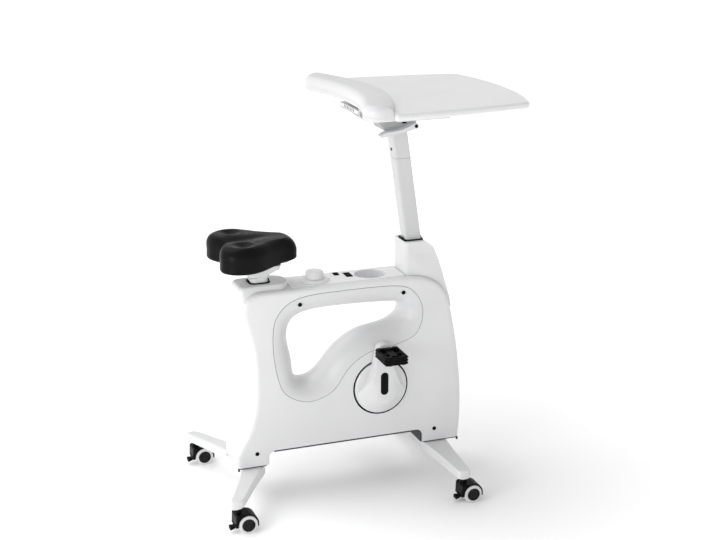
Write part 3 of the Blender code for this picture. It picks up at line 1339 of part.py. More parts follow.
def build_seat_lever(lever_x):
    pivot = (lever_x, SEAT_LEVER_Y, SEAT_LEVER_Z)
    barrel_ends = [(lever_x + side * 0.0098, SEAT_LEVER_Y, SEAT_LEVER_Z) for side in (-1, 1)]
    pin_ends = [(lever_x + side * 0.0142, SEAT_LEVER_Y, SEAT_LEVER_Z) for side in (-1, 1)]
    barrel = cylinder("barrel", 0.0045, barrel_ends[0], barrel_ends[1], 10)
    pin = cylinder("pin", 0.0020, pin_ends[0], pin_ends[1], 10)
    rod = cylinder("rod", 0.0030, pivot, (lever_x, 0.0820, 0.6425), 10)
    outline = rounded([(lever_x - 0.012, 0.078, 0.005), (lever_x + 0.012, 0.078, 0.005),
                       (lever_x + 0.014, 0.112, 0.008), (lever_x - 0.014, 0.112, 0.008)], 2)
    lever = union(plate("paddle", outline, 0.6398, 0.6448, "XY"), rod, barrel, pin)
    finish_node(lever, "seat_lever", BLACK_PLASTIC)
    put_origin(lever, pivot)


def build_seat():
    post = build_bar("seat_post", SEAT_FRAME, SEAT_POST_SIZE, SEAT_POST_CORNER, SEAT_POST_LOW,
                     SEAT_POST_TOP, -0.345)
    put_origin(post, (SEAT_AXIS_X, 0, SEAT_AXIS_Z))
    build_gas_spring("seat_gas_spring", SEAT_FRAME, -0.3745, -0.125, -0.350)
    x = seat_x(ADAPTER_BOTTOM_Z)
    build_adapter(x, x + 0.004)
    build_seat_lever(x + 0.004)
    build_saddle()


# Desk


def build_mast():
    mast = build_bar("desk_column", MAST_FRAME, MAST_SIZE, BAR_CORNER, MAST_LOW, MAST_TOP, -0.250)
    put_origin(mast, (MAST_AXIS_X, 0, MAST_AXIS_Z))
    build_gas_spring("desk_gas_spring", MAST_FRAME, -0.4495, -0.040, -0.400)

    px, pz = LEVER_PIVOT
    top = SUPPORT_BOTTOM_Z - TOUCH_GAP
    side = rounded([(-0.016, top, 0), (-0.016, 1.0570, 0.004), (0.002, 1.0420, 0.006), (0.033, 1.0395, 0.006),
                    (0.052, 1.0190, 0.004), (0.052, HEAD_BOTTOM_Z, 0.002), (0.1300, HEAD_BOTTOM_Z, 0.004),
                    (0.1440, 1.0260, 0.006), (0.1490, 1.0420, 0.006), (0.1490, top, 0)], 2)
    head = plate("head", side, -HEAD_HALF_WIDTH, HEAD_HALF_WIDTH, "XZ")
    socket_half = MAST_SIZE / 2 + TOUCH_GAP
    head = cut(head, slanted_bar("socket", MAST_FRAME, socket_half, 0.2, MAST_TOP + TOUCH_GAP, BAR_CORNER),
               cross_bar("lever_bore", 0.0045, px, pz, -0.1, -0.012, 14))
    finish_node(head, "column_head", GREY_TRIM)

    outline = rectangle(0.0760, 0.2150, 0.012, 3, (0.0960, 0.0))
    support = plate("support", outline, SUPPORT_BOTTOM_Z, SUPPORT_TOP_Z, "XY")
    lips = [span_box("lip", (0.024, 0.168), (side * 0.176, side * 0.160),
                     (SUPPORT_TOP_Z - 0.001, SUPPORT_TOP_Z + 0.0050)) for side in (-1, 1)]
    support = union(support, *lips)
    finish_node(support, "desk_support", WHITE_STEEL)
    build_height_lever()


def build_height_lever():
    """The grip beside the head; pulled up at its rear end, it lets the mast rise or fall."""
    px, pz = LEVER_PIVOT
    low_y = -HEAD_HALF_WIDTH - 0.0250
    high_y = -HEAD_HALF_WIDTH - 0.0006
    upper = smooth_path([(px + 0.003, pz + 0.0080), (px - 0.010, pz + 0.0030), (0.094, 1.0170),
                         (0.066, 1.0135), (0.048, 1.0120), (0.034, 1.0045)], 2)
    lower = smooth_path([(0.036, 0.9995), (0.058, 1.0010), (0.082, 1.0065), (0.110, 1.0110),
                         (px - 0.006, pz - 0.0090), (px + 0.002, pz - 0.0085)], 2)
    nose = arc((px + 0.002, pz - 0.0005), 0.0080, -80, 80, 5)
    paddle = plate("paddle", upper + lower + nose, low_y, high_y, "XZ")
    lever = union(paddle, cross_bar("pin", 0.0040, px, pz, high_y - 0.002, -0.0125, 14))
    finish_node(lever, "height_lever", GREY_TRIM)
    put_origin(lever, (px, 0, pz))


def desk_outline():
    """The board from above: sides drawn in towards the front, a bowed front edge, round corners."""
    half = DESK_HALF_WIDTH
    rear = DESK_REAR_X
    right_rear = [(rear, 0.035 - half), (rear + 0.012, 0.022 - half), (rear + 0.030, 0.018 - half),
                  (0.010, -half - 0.0015), (0.100, -half + 0.0030), (0.200, -half + 0.0120),
                  (0.290, -half + 0.0240)]
    right_front = arc(DESK_CORNER_CENTER, DESK_CORNER_RADIUS, -88, -12, 4)
    front = [(DESK_FRONT_X - 0.029 * (abs(y) / 0.205) ** 2.2, y)
             for y in (-0.205, -0.15, -0.08, 0, 0.08, 0.15, 0.205)]
    left_front = [(x, -y) for x, y in right_front][::-1]
    left_rear = [(x, -y) for x, y in right_rear][::-1]
    return right_rear + right_front + front + left_front + left_rear


def pad_border(y):
    """Where the pad ends against the desktop: further forward in the middle."""
    return PAD_BORDER_X - 0.065 * (abs(y) / 0.265) ** 1.9


def pad_stations():
    """Where the pad is sliced along its length: closer together at its round ends."""
    end = PAD_HALF_LENGTH
    half = [end, end - 0.0012, end - 0.0045, end - 0.010, end - 0.020, end - PAD_CORNER,
            0.205, 0.165, 0.115, 0.06, 0.02]
    return [-y for y in half] + half[::-1]


def border_outline(rear_x):
    """The area behind the pad's border."""
    border = [(pad_border(y), y) for y in pad_stations()]
    return [(rear_x, -0.35), (border[0][0], -0.35)] + border + [(border[-1][0], 0.35), (rear_x, 0.35)]


def build_desk():
    bottom = DESK_TOP_Z - DESK_THICKNESS
    board = plate("board", desk_outline(), bottom, DESK_TOP_Z, "XY", edge=0.006, edge_steps=1)
    step_z = bottom + 0.0080
    board = cut(board, plate("pad_step", border_outline(-0.2), step_z, 1.2, "XY"))
    px, pz = SLIDE_PIVOT
    under = bottom + 0.001
    guides = []
    for side in (-1, 1):
        guides.append(span_box("guide", (0.060, 0.300), (side * 0.1585, side * 0.1535),
                               (SUPPORT_TOP_Z + 0.0006, under)))
        guides.append(span_box("lug", (px - 0.0055, px + 0.0055), (side * 0.0708, side * 0.0760),
                               (pz - 0.0050, under)))
    board = union(board, *guides)
    board = cut(board, cross_bar("pin_bore", 0.0029, px, pz, -0.1, 0.1, 12))
    finish_node(board, "desktop", WHITE_SHELL)
    put_origin(board, (0, 0, DESK_TOP_Z))

    pad = build_pad_solid()
    grown = plate("board_space", desk_outline(), bottom - TOUCH_GAP, step_z + TOUCH_GAP, "XY",
                  inset=-TOUCH_GAP)
    pad = cut(pad, grown, span_box("under_space", (PAD_LIP_X, 0.2), (-0.4, 0.4), (1.0, bottom)))
    finish_node(pad, "arm_pad", PALE_SKIN, 60)

    build_slide_paddle()


def build_slide_paddle():
    """The squeeze plate below the pad that frees the desktop's slide."""
    px, pz = SLIDE_PIVOT
    rear = px - 0.0300
    lip = rear + 0.0035
    top = pz + 0.0012
    under = pz - 0.0018
    lip_end = pz - 0.0130
    side = [(px + 0.001, top), (rear, top), (rear, lip_end), (lip, lip_end), (lip, under),
            (px + 0.001, under)]
    paddle = plate("paddle", side, -0.0700, 0.0700, "XZ")
    paddle = union(paddle, cross_bar("pin", 0.0026, px, pz, -0.0765, 0.0765, 12))
    finish_node(paddle, "slide_lock_paddle", WHITE_SHELL)
    put_origin(paddle, (px, 0, pz))


def pad_front(y):
    """Where the rider's edge of the pad runs: drawn in at the middle, with round outer corners."""
    edge = PAD_REAR_X - 0.044 * min(abs(y) / 0.222, 1.0) ** 2
    corner = max(0.0, (abs(y) - (PAD_HALF_LENGTH - PAD_CORNER)) / PAD_CORNER)
    return edge + PAD_CORNER * (1 - math.sqrt(max(0.0, 1 - corner ** 2)))


def quarter(center, radius_a, radius_b, angles):
    """Points round a quarter turn from straight back (0 degrees) to straight up (90)."""
    turns = [math.radians(angle) for angle in angles]
    return [(center[0] - radius_a * math.cos(turn), center[1] + radius_b * math.sin(turn)) for turn in turns]


def pad_section(y):
    """One slice of the pad: a full round shoulder on the rider's side and a crowned top."""
    fade = max(0.0, (abs(y) - (PAD_HALF_LENGTH - PAD_END_RADIUS)) / PAD_END_RADIUS)
    inset = PAD_END_RADIUS * (1 - math.sqrt(max(0.0, 1 - fade ** 2)))
    front = pad_front(y) + inset * 0.5
    back = pad_border(y) - 2 * TOUCH_GAP
    top = PAD_TOP_Z - inset
    bottom = PAD_BOTTOM_Z + inset * 0.6
    shoulder = 0.0150 - inset * 0.6
    hem = 0.0080 - inset * 0.3
    points = [(back, bottom), (front + hem, bottom)]
    points += quarter((front + hem, bottom + hem), hem, -hem, (45, 0))
    points += quarter((front + shoulder, top - shoulder), shoulder, shoulder, (0, 22, 45, 67, 90))
    middle = (front + shoulder + back - 0.018) / 2
    points += [(middle, top + 0.0020), (back - 0.018, top - 0.0010), (back - 0.0070, top - 0.0060),
               (back, top - 0.0125)]
    return [(a, y, b) for a, b in points]


def build_pad_solid():
    return loft("pad", [pad_section(y) for y in pad_stations()])


def center_on_origin():
    """Moves every piece along X so that the bounding box's middle is over the origin."""
    for made in PARTS.objects:
        made.location.x += ORIGIN_SHIFT_X


def main():
    build_frame()
    build_leg("rear_leg", REAR_LEG_ROOT[0], REAR_LEG_ROOT[1], REAR_STEM, LEG_END_HALF)
    build_leg("front_leg", FRONT_LEG_ROOT[0], FRONT_LEG_ROOT[1], FRONT_STEM, LEG_END_HALF)
    build_casters()
    build_shells()
    build_trims()
    build_console()
    build_seat_shroud()
    build_mast_shroud()
    build_collar("seat_collar", SEAT_FRAME, seat_x(SEAT_SHROUD_TOP_Z), SEAT_POST_SIZE, SEAT_POST_CORNER,
                 SEAT_SHROUD_TOP_Z, 0.0284, neck=SEAT_NECK_HALF)
    build_collar("column_collar", MAST_FRAME, mast_x(MAST_SHROUD_TOP_Z), MAST_SIZE, BAR_CORNER,
                 MAST_SHROUD_TOP_Z, 0.0285)
    build_drive()
    build_resistance()
    build_seat()
    build_mast()
    build_desk()
    center_on_origin()


main()
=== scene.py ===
"""Looks of the desk exercise bike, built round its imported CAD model."""
import json
import math

import bmesh
import bpy
from mathutils import Matrix, Vector


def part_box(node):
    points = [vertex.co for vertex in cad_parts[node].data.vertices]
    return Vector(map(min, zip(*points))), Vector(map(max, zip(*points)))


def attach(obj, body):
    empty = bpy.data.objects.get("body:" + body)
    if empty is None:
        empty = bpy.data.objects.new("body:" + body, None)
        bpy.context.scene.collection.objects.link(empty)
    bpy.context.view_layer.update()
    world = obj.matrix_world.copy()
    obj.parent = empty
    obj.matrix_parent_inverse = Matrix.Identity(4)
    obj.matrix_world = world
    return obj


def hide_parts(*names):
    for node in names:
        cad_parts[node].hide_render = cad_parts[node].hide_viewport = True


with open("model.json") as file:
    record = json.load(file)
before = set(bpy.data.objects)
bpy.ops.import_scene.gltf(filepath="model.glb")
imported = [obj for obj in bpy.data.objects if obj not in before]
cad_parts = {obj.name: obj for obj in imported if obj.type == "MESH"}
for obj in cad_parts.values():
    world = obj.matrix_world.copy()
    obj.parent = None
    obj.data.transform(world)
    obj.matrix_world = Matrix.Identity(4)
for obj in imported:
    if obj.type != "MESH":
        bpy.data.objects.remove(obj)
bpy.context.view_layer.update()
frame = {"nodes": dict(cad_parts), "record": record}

# Sizes are in metres. X runs forward, Y to the rider's left and Z up. Outlines are drawn in
# the CAD source's own X, and this shift takes them to the frame's.
SHIFT_X = 0.018
SIDES = ((-1, "right"), (1, "left"))


# Meshes

def new_object(name, bm, body, material, smooth_degrees):
    """Makes a piece from a mesh in the frame's own coordinates, and lets it ride on a body."""
    mesh = bpy.data.meshes.new(name)
    bmesh.ops.recalc_face_normals(bm, faces=bm.faces)
    bm.to_mesh(mesh)
    bm.free()
    made = bpy.data.objects.new(name, mesh)
    bpy.context.scene.collection.objects.link(made)
    mesh.materials.append(material)
    mesh.shade_smooth()
    mesh.set_sharp_from_angle(angle=math.radians(smooth_degrees))
    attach(made, body)
    return made


def join_rows(bm, near, far):
    """Faces between two closed rows of equal count."""
    count = len(near)
    for i in range(count):
        j = (i + 1) % count
        bm.faces.new((near[i], near[j], far[j], far[i]))


def loft_rings(bm, rings, close_first=True):
    """Joins closed rings of equal count, each to the next, and closes the ends."""
    rows = [[bm.verts.new(place) for place in ring] for ring in rings]
    for near, far in zip(rows, rows[1:]):
        join_rows(bm, near, far)
    if close_first:
        bm.faces.new(rows[0])
    bm.faces.new(reversed(rows[-1]))


def closed_ring(bm, rings):
    """Joins closed rings of equal count, each to the next and the last one to the first."""
    rows = [[bm.verts.new(place) for place in ring] for ring in rings]
    for near, far in zip(rows, rows[1:] + rows[:1]):
        join_rows(bm, near, far)


def round_z(radius, angle, height):
    return Vector((radius * math.cos(angle), radius * math.sin(angle), height))


def stand(place, direction):
    """A matrix that turns +Z to a direction and moves the result to a place."""
    turn = Vector((0, 0, 1)).rotation_difference(Vector(direction)).to_matrix().to_4x4()
    return Matrix.Translation(place) @ turn


def turn_profile(bm, profile, matrix, steps):
    """Turns (radius, height) pairs round Z and places the result; ends on the axis are closed."""
    rows = []
    for radius, height in profile:
        count = steps if radius > 0 else 1
        rows.append([bm.verts.new(matrix @ round_z(radius, 2 * math.pi * i / steps, height))
                     for i in range(count)])
    for near, far in zip(rows, rows[1:]):
        if len(near) == len(far):
            join_rows(bm, near, far)
            continue
        for i in range(steps):
            j = (i + 1) % steps
            if len(near) == 1:
                bm.faces.new((near[0], far[j], far[i]))
            else:
                bm.faces.new((near[i], near[j], far[0]))


def smooth_path(points, steps):
    """Points along a closed Catmull-Rom curve that passes through every given point."""
    count = len(points)
    result = []
    for i in range(count):
        p0, p1, p2, p3 = (Vector(points[(i + k) % count]) for k in (-1, 0, 1, 2))
        for k in range(steps):
            t = k / steps
            result.append(0.5 * ((2 * p1) + (p2 - p0) * t + (2 * p0 - 5 * p1 + 4 * p2 - p3) * t * t
                                 + (3 * p1 - p0 - 3 * p2 + p3) * t ** 3))
    return result


def even_spacing(points, count):
    """The same closed outline with points at equal distances along it."""
    loop = [Vector(p) for p in points]
    lengths = [0.0]
    for a, b in zip(loop, loop[1:] + loop[:1]):
        lengths.append(lengths[-1] + (b - a).length)
    result = []
    k = 0
    for i in range(count):
        target = lengths[-1] * i / count
        while lengths[k + 1] < target:
            k += 1
        part = (target - lengths[k]) / (lengths[k + 1] - lengths[k])
        result.append(loop[k].lerp(loop[(k + 1) % len(loop)], part))
    return result


def round_box(x_low, x_high, half_y, corner, steps=5, high_corner=None):
    """A rectangle with rounded corners, those at its high end with a radius of their own."""
    high = corner if high_corner is None else high_corner
    points = []
    for x, y, radius, start in ((x_high - high, half_y - high, high, 0),
                                (x_low + corner, half_y - corner, corner, 90),
                                (x_low + corner, corner - half_y, corner, 180),
                                (x_high - high, high - half_y, high, 270)):
        for k in range(steps + 1):
            turn = math.radians(start + 90 * k / steps)
            points.append((x + radius * math.cos(turn), y + radius * math.sin(turn)))
    return points


def arc(x, z, radius, angles):
    return [Vector((x + radius * math.cos(math.radians(degrees)),
                    z + radius * math.sin(math.radians(degrees)))) for degrees in angles]


def ribbon(bm, path, thickness, half_width):
    """A flat strip along a path in X and Z, thick towards the path's right side."""
    rings = []
    for i, here in enumerate(path):
        before = path[max(i - 1, 0)]
        after = path[min(i + 1, len(path) - 1)]
        along = (after - before).normalized()
        inner = here + Vector((along.y, -along.x)) * thickness
        rings.append([(x + SHIFT_X, y, z) for x, y, z in
                      ((here.x, -half_width, here.y), (here.x, half_width, here.y),
                       (inner.x, half_width, inner.y), (inner.x, -half_width, inner.y))])
    loft_rings(bm, rings)


# Shader building blocks

TEXTURE_START = (0.3137, 0.2711, 0.1953)


def begin(name, roughness, metallic=0.0, specular=0.5, coat=0.0, coat_roughness=0.1, sheen=0.0):
    material = bpy.data.materials.new(name)
    material.use_nodes = True
    tree = material.node_tree
    shader = tree.nodes["Principled BSDF"]
    shader.inputs["Roughness"].default_value = roughness
    shader.inputs["Metallic"].default_value = metallic
    shader.inputs["Specular IOR Level"].default_value = specular
    shader.inputs["Coat Weight"].default_value = coat
    shader.inputs["Coat Roughness"].default_value = coat_roughness
    shader.inputs["Sheen Weight"].default_value = sheen
    return material, tree, shader


def space(tree, stretch=(1.0, 1.0, 1.0)):
    coordinates = tree.nodes.new("ShaderNodeTexCoord")
    mapping = tree.nodes.new("ShaderNodeMapping")
    mapping.inputs["Location"].default_value = TEXTURE_START
    mapping.inputs["Scale"].default_value = stretch
    tree.links.new(coordinates.outputs["Object"], mapping.inputs["Vector"])
    return mapping.outputs["Vector"]


def noise(tree, vector, scale, detail, distortion=0.0):
    node = tree.nodes.new("ShaderNodeTexNoise")
    node.inputs["Scale"].default_value = scale
    node.inputs["Detail"].default_value = detail
    node.inputs["Distortion"].default_value = distortion
    tree.links.new(vector, node.inputs["Vector"])
    return node.outputs["Fac"]


def cells(tree, vector, scale):
    node = tree.nodes.new("ShaderNodeTexVoronoi")
    node.feature = "SMOOTH_F1"
    node.inputs["Scale"].default_value = scale
    tree.links.new(vector, node.inputs["Vector"])
    return node.outputs["Distance"]


def remap(tree, value, low, high, new_low, new_high):
    node = tree.nodes.new("ShaderNodeMapRange")
    node.inputs["From Min"].default_value = low
    node.inputs["From Max"].default_value = high
    node.inputs["To Min"].default_value = new_low
    node.inputs["To Max"].default_value = new_high
    tree.links.new(value, node.inputs["Value"])
    return node.outputs["Result"]


def relief(tree, height, strength, distance, under=None):
    node = tree.nodes.new("ShaderNodeBump")
    node.inputs["Strength"].default_value = strength
    node.inputs["Distance"].default_value = distance
    tree.links.new(height, node.inputs["Height"])
    if under is not None:
        tree.links.new(under, node.inputs["Normal"])
    return node.outputs["Normal"]


def blend(tree, shader, factor, dark, light):
    """Sets the base colour between two by a factor."""
    node = tree.nodes.new("ShaderNodeMix")
    node.data_type = "RGBA"
    node.inputs["A"].default_value = (*dark, 1.0)
    node.inputs["B"].default_value = (*light, 1.0)
    tree.links.new(factor, node.inputs["Factor"])
    tree.links.new(node.outputs["Result"], shader.inputs["Base Color"])


def tint(tree, shader, pattern, low, high, dark, light):
    """Sets the base colour between two by a pattern, from its low value to its high one."""
    blend(tree, shader, remap(tree, pattern, low, high, 0.0, 1.0), dark, light)


def gloss(tree, shader, pattern, low, high, smooth, rough):
    """Sets the roughness by a pattern, from its low value to its high one."""
    tree.links.new(remap(tree, pattern, low, high, smooth, rough), shader.inputs["Roughness"])


# Materials

def moulded(name, dark, light, roughness, grain=900.0, grain_strength=0.08, specular=0.5):
    """Injection-moulded plastic: a fine skin, a slow waviness and small handling marks."""
    material, tree, shader = begin(name, roughness, specular=specular)
    vector = space(tree)
    tint(tree, shader, noise(tree, vector, scale=7.0, detail=4.0), 0.35, 0.65, dark, light)
    marks = space(tree, stretch=(1.0, 1.0, 2.4))
    handling = noise(tree, marks, scale=46.0, detail=5.0, distortion=0.6)
    gloss(tree, shader, handling, 0.25, 0.75, roughness - 0.02, roughness + 0.04)
    waves = noise(tree, vector, scale=13.0, detail=1.0)
    slow = relief(tree, waves, strength=0.10, distance=0.0008)
    grains = noise(tree, vector, scale=grain, detail=2.0)
    fine = relief(tree, grains, strength=grain_strength, distance=0.0002, under=slow)
    tree.links.new(fine, shader.inputs["Normal"])
    return material


def powder_coat(name, dark, light):
    """Sprayed and baked paint with its small orange-peel ripples."""
    material, tree, shader = begin(name, 0.36, coat=0.25, coat_roughness=0.22)
    vector = space(tree)
    tint(tree, shader, noise(tree, vector, scale=5.0, detail=3.0), 0.35, 0.65, dark, light)
    gloss(tree, shader, noise(tree, vector, scale=60.0, detail=4.0), 0.3, 0.7, 0.30, 0.43)
    ripples = relief(tree, cells(tree, vector, scale=420.0), strength=0.16, distance=0.0002)
    grains = noise(tree, vector, scale=1100.0, detail=1.0)
    fine = relief(tree, grains, strength=0.06, distance=0.0001, under=ripples)
    tree.links.new(fine, shader.inputs["Normal"])
    return material


def skin(name, dark, light, roughness, grain, strength, sheen=0.0, specular=0.45):
    """Synthetic leather: small pebbles of uneven size over slow folds."""
    material, tree, shader = begin(name, roughness, specular=specular, sheen=sheen)
    vector = space(tree)
    tint(tree, shader, noise(tree, vector, scale=11.0, detail=4.0), 0.35, 0.65, dark, light)
    wear = noise(tree, vector, scale=38.0, detail=5.0)
    gloss(tree, shader, wear, 0.3, 0.7, roughness - 0.06, roughness + 0.08)
    folds = noise(tree, vector, scale=24.0, detail=2.0, distortion=0.4)
    slow = relief(tree, folds, strength=0.14, distance=0.0010)
    pebbles = cells(tree, vector, scale=grain)
    fine = relief(tree, pebbles, strength=strength, distance=0.0003, under=slow)
    tree.links.new(fine, shader.inputs["Normal"])
    return material


def turned_metal(name, dark, light, roughness, stretch):
    """Bare metal with fine tool lines, set close along the stretched axis."""
    material, tree, shader = begin(name, roughness, metallic=1.0)
    lines = noise(tree, space(tree, stretch), scale=160.0, detail=3.0)
    tint(tree, shader, lines, 0.3, 0.7, dark, light)
    gloss(tree, shader, lines, 0.3, 0.7, roughness - 0.08, roughness + 0.10)
    tree.links.new(relief(tree, lines, strength=0.15, distance=0.0002), shader.inputs["Normal"])
    return material


def cast_metal(name, dark, light):
    """Cast iron with its sandy skin."""
    material, tree, shader = begin(name, 0.52, metallic=0.9)
    vector = space(tree)
    tint(tree, shader, noise(tree, vector, scale=30.0, detail=5.0), 0.3, 0.7, dark, light)
    sand = noise(tree, vector, scale=260.0, detail=4.0)
    tree.links.new(relief(tree, sand, strength=0.35, distance=0.0004), shader.inputs["Normal"])
    return material


def rubber(name, dark, light, roughness=0.75):
    """Dull rubber with a fine even grain."""
    material, tree, shader = begin(name, roughness, specular=0.3)
    vector = space(tree)
    tint(tree, shader, noise(tree, vector, scale=40.0, detail=4.0), 0.3, 0.7, dark, light)
    wear = noise(tree, vector, scale=90.0, detail=3.0)
    gloss(tree, shader, wear, 0.3, 0.7, roughness - 0.08, roughness + 0.08)
    grains = noise(tree, vector, scale=700.0, detail=2.0)
    tree.links.new(relief(tree, grains, strength=0.2, distance=0.0002), shader.inputs["Normal"])
    return material


def lens(name, dark, light):
    """The display's dark window, faintly smudged."""
    material, tree, shader = begin(name, 0.20, specular=0.004)
    smudges = noise(tree, space(tree), scale=120.0, detail=4.0)
    blend(tree, shader, smudges, dark, light)
    gloss(tree, shader, smudges, 0.3, 0.7, 0.16, 0.28)
    return material


WHITE = moulded("white_plastic", (0.700, 0.701, 0.707), (0.722, 0.723, 0.729), 0.32)
# Painted light: a lighter copy of the white plastic, for the desktop, its corners and the console.
WHITE_PAINTED_LIGHT = moulded("white_plastic_painted_light", (0.775, 0.776, 0.782), (0.797, 0.798, 0.804), 0.32)
GREY = moulded("pale_grey_plastic", (0.660, 0.661, 0.667), (0.682, 0.683, 0.689), 0.32)
COAT = powder_coat("white_coated_steel", (0.705, 0.706, 0.712), (0.727, 0.728, 0.734))
BLACK = moulded("black_plastic", (0.0025, 0.0025, 0.0027), (0.0048, 0.0048, 0.0051), 0.40,
                grain=700.0, grain_strength=0.30, specular=0.07)
SEAT_SKIN = skin("black_skin", (0.0055, 0.0055, 0.0058), (0.0080, 0.0080, 0.0084), 0.31,
                 grain=620.0, strength=0.14, specular=0.055)
PAD_SKIN = skin("pale_grey_skin", (0.695, 0.695, 0.703), (0.717, 0.717, 0.724), 0.40,
                grain=900.0, strength=0.10, sheen=0.03)
# Painted shade: dark grey laid where the body shows only shade, along the belly, round the window
# lips, between feet and legs, and in the paddle's rim and grooves.
SHADE_DARK_GREY = moulded("painted_shade_dark_grey", (0.045, 0.045, 0.047), (0.065, 0.065, 0.068), 0.60,
               grain=500.0, grain_strength=0.2, specular=0.2)
HUB_BLACK = moulded("hub_black_plastic", (0.0060, 0.0060, 0.0064), (0.0095, 0.0095, 0.0100), 0.34,
                    grain=700.0, grain_strength=0.20, specular=0.20)
SEAM = moulded("grey_seam", (0.26, 0.26, 0.265), (0.30, 0.30, 0.305), 0.50)
# Painted shade: a darker copy of the grey plastic for the column head, which sits in the desk's
# shadow.
HEAD_GREY_PAINTED_SHADE = moulded("grey_plastic_painted_shade", (0.390, 0.391, 0.395), (0.412, 0.413, 0.417), 0.40)
# Painted shade: a darker copy of the white coat for the desk column, which gets less light under
# the desk.
COLUMN_COAT_PAINTED_SHADE = powder_coat("white_coat_painted_shade", (0.575, 0.576, 0.582), (0.597, 0.598, 0.604))
LENS = lens("dark_lens", (0.003, 0.003, 0.0035), (0.007, 0.007, 0.008))
STEEL = turned_metal("steel", (0.46, 0.46, 0.47), (0.62, 0.62, 0.63), 0.30, (1.0, 9.0, 1.0))
CAST = cast_metal("cast_metal", (0.22, 0.22, 0.23), (0.36, 0.36, 0.37))
RUBBER = rubber("rubber", (0.016, 0.016, 0.016), (0.030, 0.030, 0.030))
TYRE = rubber("pale_tyre", (0.66, 0.66, 0.665), (0.72, 0.72, 0.725), 0.55)
SLOT_MATERIALS = {
    "white_plastic": WHITE, "pale_grey_plastic": GREY, "white_coated_steel": COAT,
    "black_plastic": BLACK, "black_skin": SEAT_SKIN, "pale_grey_skin": PAD_SKIN,
    "dark_lens": LENS, "steel": STEEL, "cast_metal": CAST, "rubber": RUBBER, "pale_tyre": TYRE,
}
# The column head and desk column take shaded copies, and the desktop and console a lit copy, of
# their slots' materials: painted shade and painted light.
NODE_MATERIALS = {
    "column_head": HEAD_GREY_PAINTED_SHADE, "desk_column": COLUMN_COAT_PAINTED_SHADE, "mode_button": LENS,
    "desktop": WHITE_PAINTED_LIGHT, "console": WHITE_PAINTED_LIGHT,
}


def paint_nodes():
    """Gives every CAD node the material of its slot in the record, or one of its own."""
    for part in frame["record"]["subparts"]:
        node = frame["nodes"][part["node"]]
        of_slot = SLOT_MATERIALS[part["material_slot"]]
        node.data.materials.clear()
        node.data.materials.append(NODE_MATERIALS.get(part["node"], of_slot))


# Camera, floor and light

CAMERA_PLACE = (-1.3345, -3.6599, 1.8154)
CAMERA_TURN = (math.radians(72.91), 0.0, math.radians(-20.17))
CAMERA_LENS = 73.80
SENSOR_WIDTH = 36.0

# The floor glows less under the bike: a painted shadow round it, added to the shadow the lamps cast
FLOOR_REACH = 60.0
FLOOR_COLORS = ((0.93, 0.93, 0.93), (0.945, 0.945, 0.945))
FLOOR_GLOW_AND_PAINTED_SHADOW = (0.03, 0.29)
PAINTED_SHADOW_REACH = (0.15, 1.25)
PAINTED_SHADOW_MIDDLE = (0.30, 0.06, 0.0)

# Strengths of the tent, and the span of a direction's X, Y or Z over which each one comes in
SIDE_LIGHT = 0.80
TOP_LIGHT = 0.43
TOP_SPAN = (0.15, 1.0)
BACK_LIGHT = 0.08
BACK_SPAN = (0.2, 0.95)
FRONT_LIGHT = -0.07
FRONT_SPAN = (0.1, -0.9)
REAR_LIGHT = 0.40
REAR_SPAN = (-0.35, -0.97)
OVERHEAD_LIGHT = 2.0
OVERHEAD_WAY = Vector((-0.30, 0.38, 0.87)).normalized()
OVERHEAD_SPAN = (0.84, 0.96)
KEY_POWER = 8.0
KEY_SIZE = 0.8
KEY_PLACE = (-1.45, -0.85, 0.75)
KEY_TARGET = (0.0, 0.0, 0.35)


def build_camera():
    data = bpy.data.cameras.new("camera")
    data.sensor_width = SENSOR_WIDTH
    data.lens = CAMERA_LENS
    camera = bpy.data.objects.new("camera", data)
    camera.location = CAMERA_PLACE
    camera.rotation_euler = CAMERA_TURN
    bpy.context.scene.collection.objects.link(camera)
    bpy.context.scene.camera = camera


def build_stage():
    """A wide pale floor that glows a little, and least under the bike, as a painted shadow."""
    bm = bmesh.new()
    bm.faces.new([bm.verts.new((x * FLOOR_REACH, y * FLOOR_REACH, 0.0))
                  for x, y in ((-1, -1), (1, -1), (1, 1), (-1, 1))])
    mesh = bpy.data.meshes.new("floor")
    bm.to_mesh(mesh)
    bm.free()
    floor = bpy.data.objects.new("floor", mesh)
    bpy.context.scene.collection.objects.link(floor)
    material, tree, shader = begin("studio_floor", 0.8, specular=0.1)
    clouds = noise(tree, space(tree), scale=0.8, detail=2.0)
    tint(tree, shader, clouds, 0.3, 0.7, *FLOOR_COLORS)
    shader.inputs["Emission Color"].default_value = (1.0, 1.0, 1.0, 1.0)
    distance = tree.nodes.new("ShaderNodeVectorMath")
    distance.operation = "DISTANCE"
    distance.inputs[1].default_value = PAINTED_SHADOW_MIDDLE
    place = tree.nodes.new("ShaderNodeTexCoord")
    tree.links.new(place.outputs["Object"], distance.inputs[0])
    # Less glow near the bike: a painted shadow on the floor.
    glow = remap(tree, distance.outputs["Value"], *PAINTED_SHADOW_REACH, *FLOOR_GLOW_AND_PAINTED_SHADOW)
    tree.links.new(glow, shader.inputs["Emission Strength"])
    mesh.materials.append(material)


def add_up(tree, first, second):
    node = tree.nodes.new("ShaderNodeMath")
    tree.links.new(first, node.inputs[0])
    tree.links.new(second, node.inputs[1])
    return node.outputs["Value"]


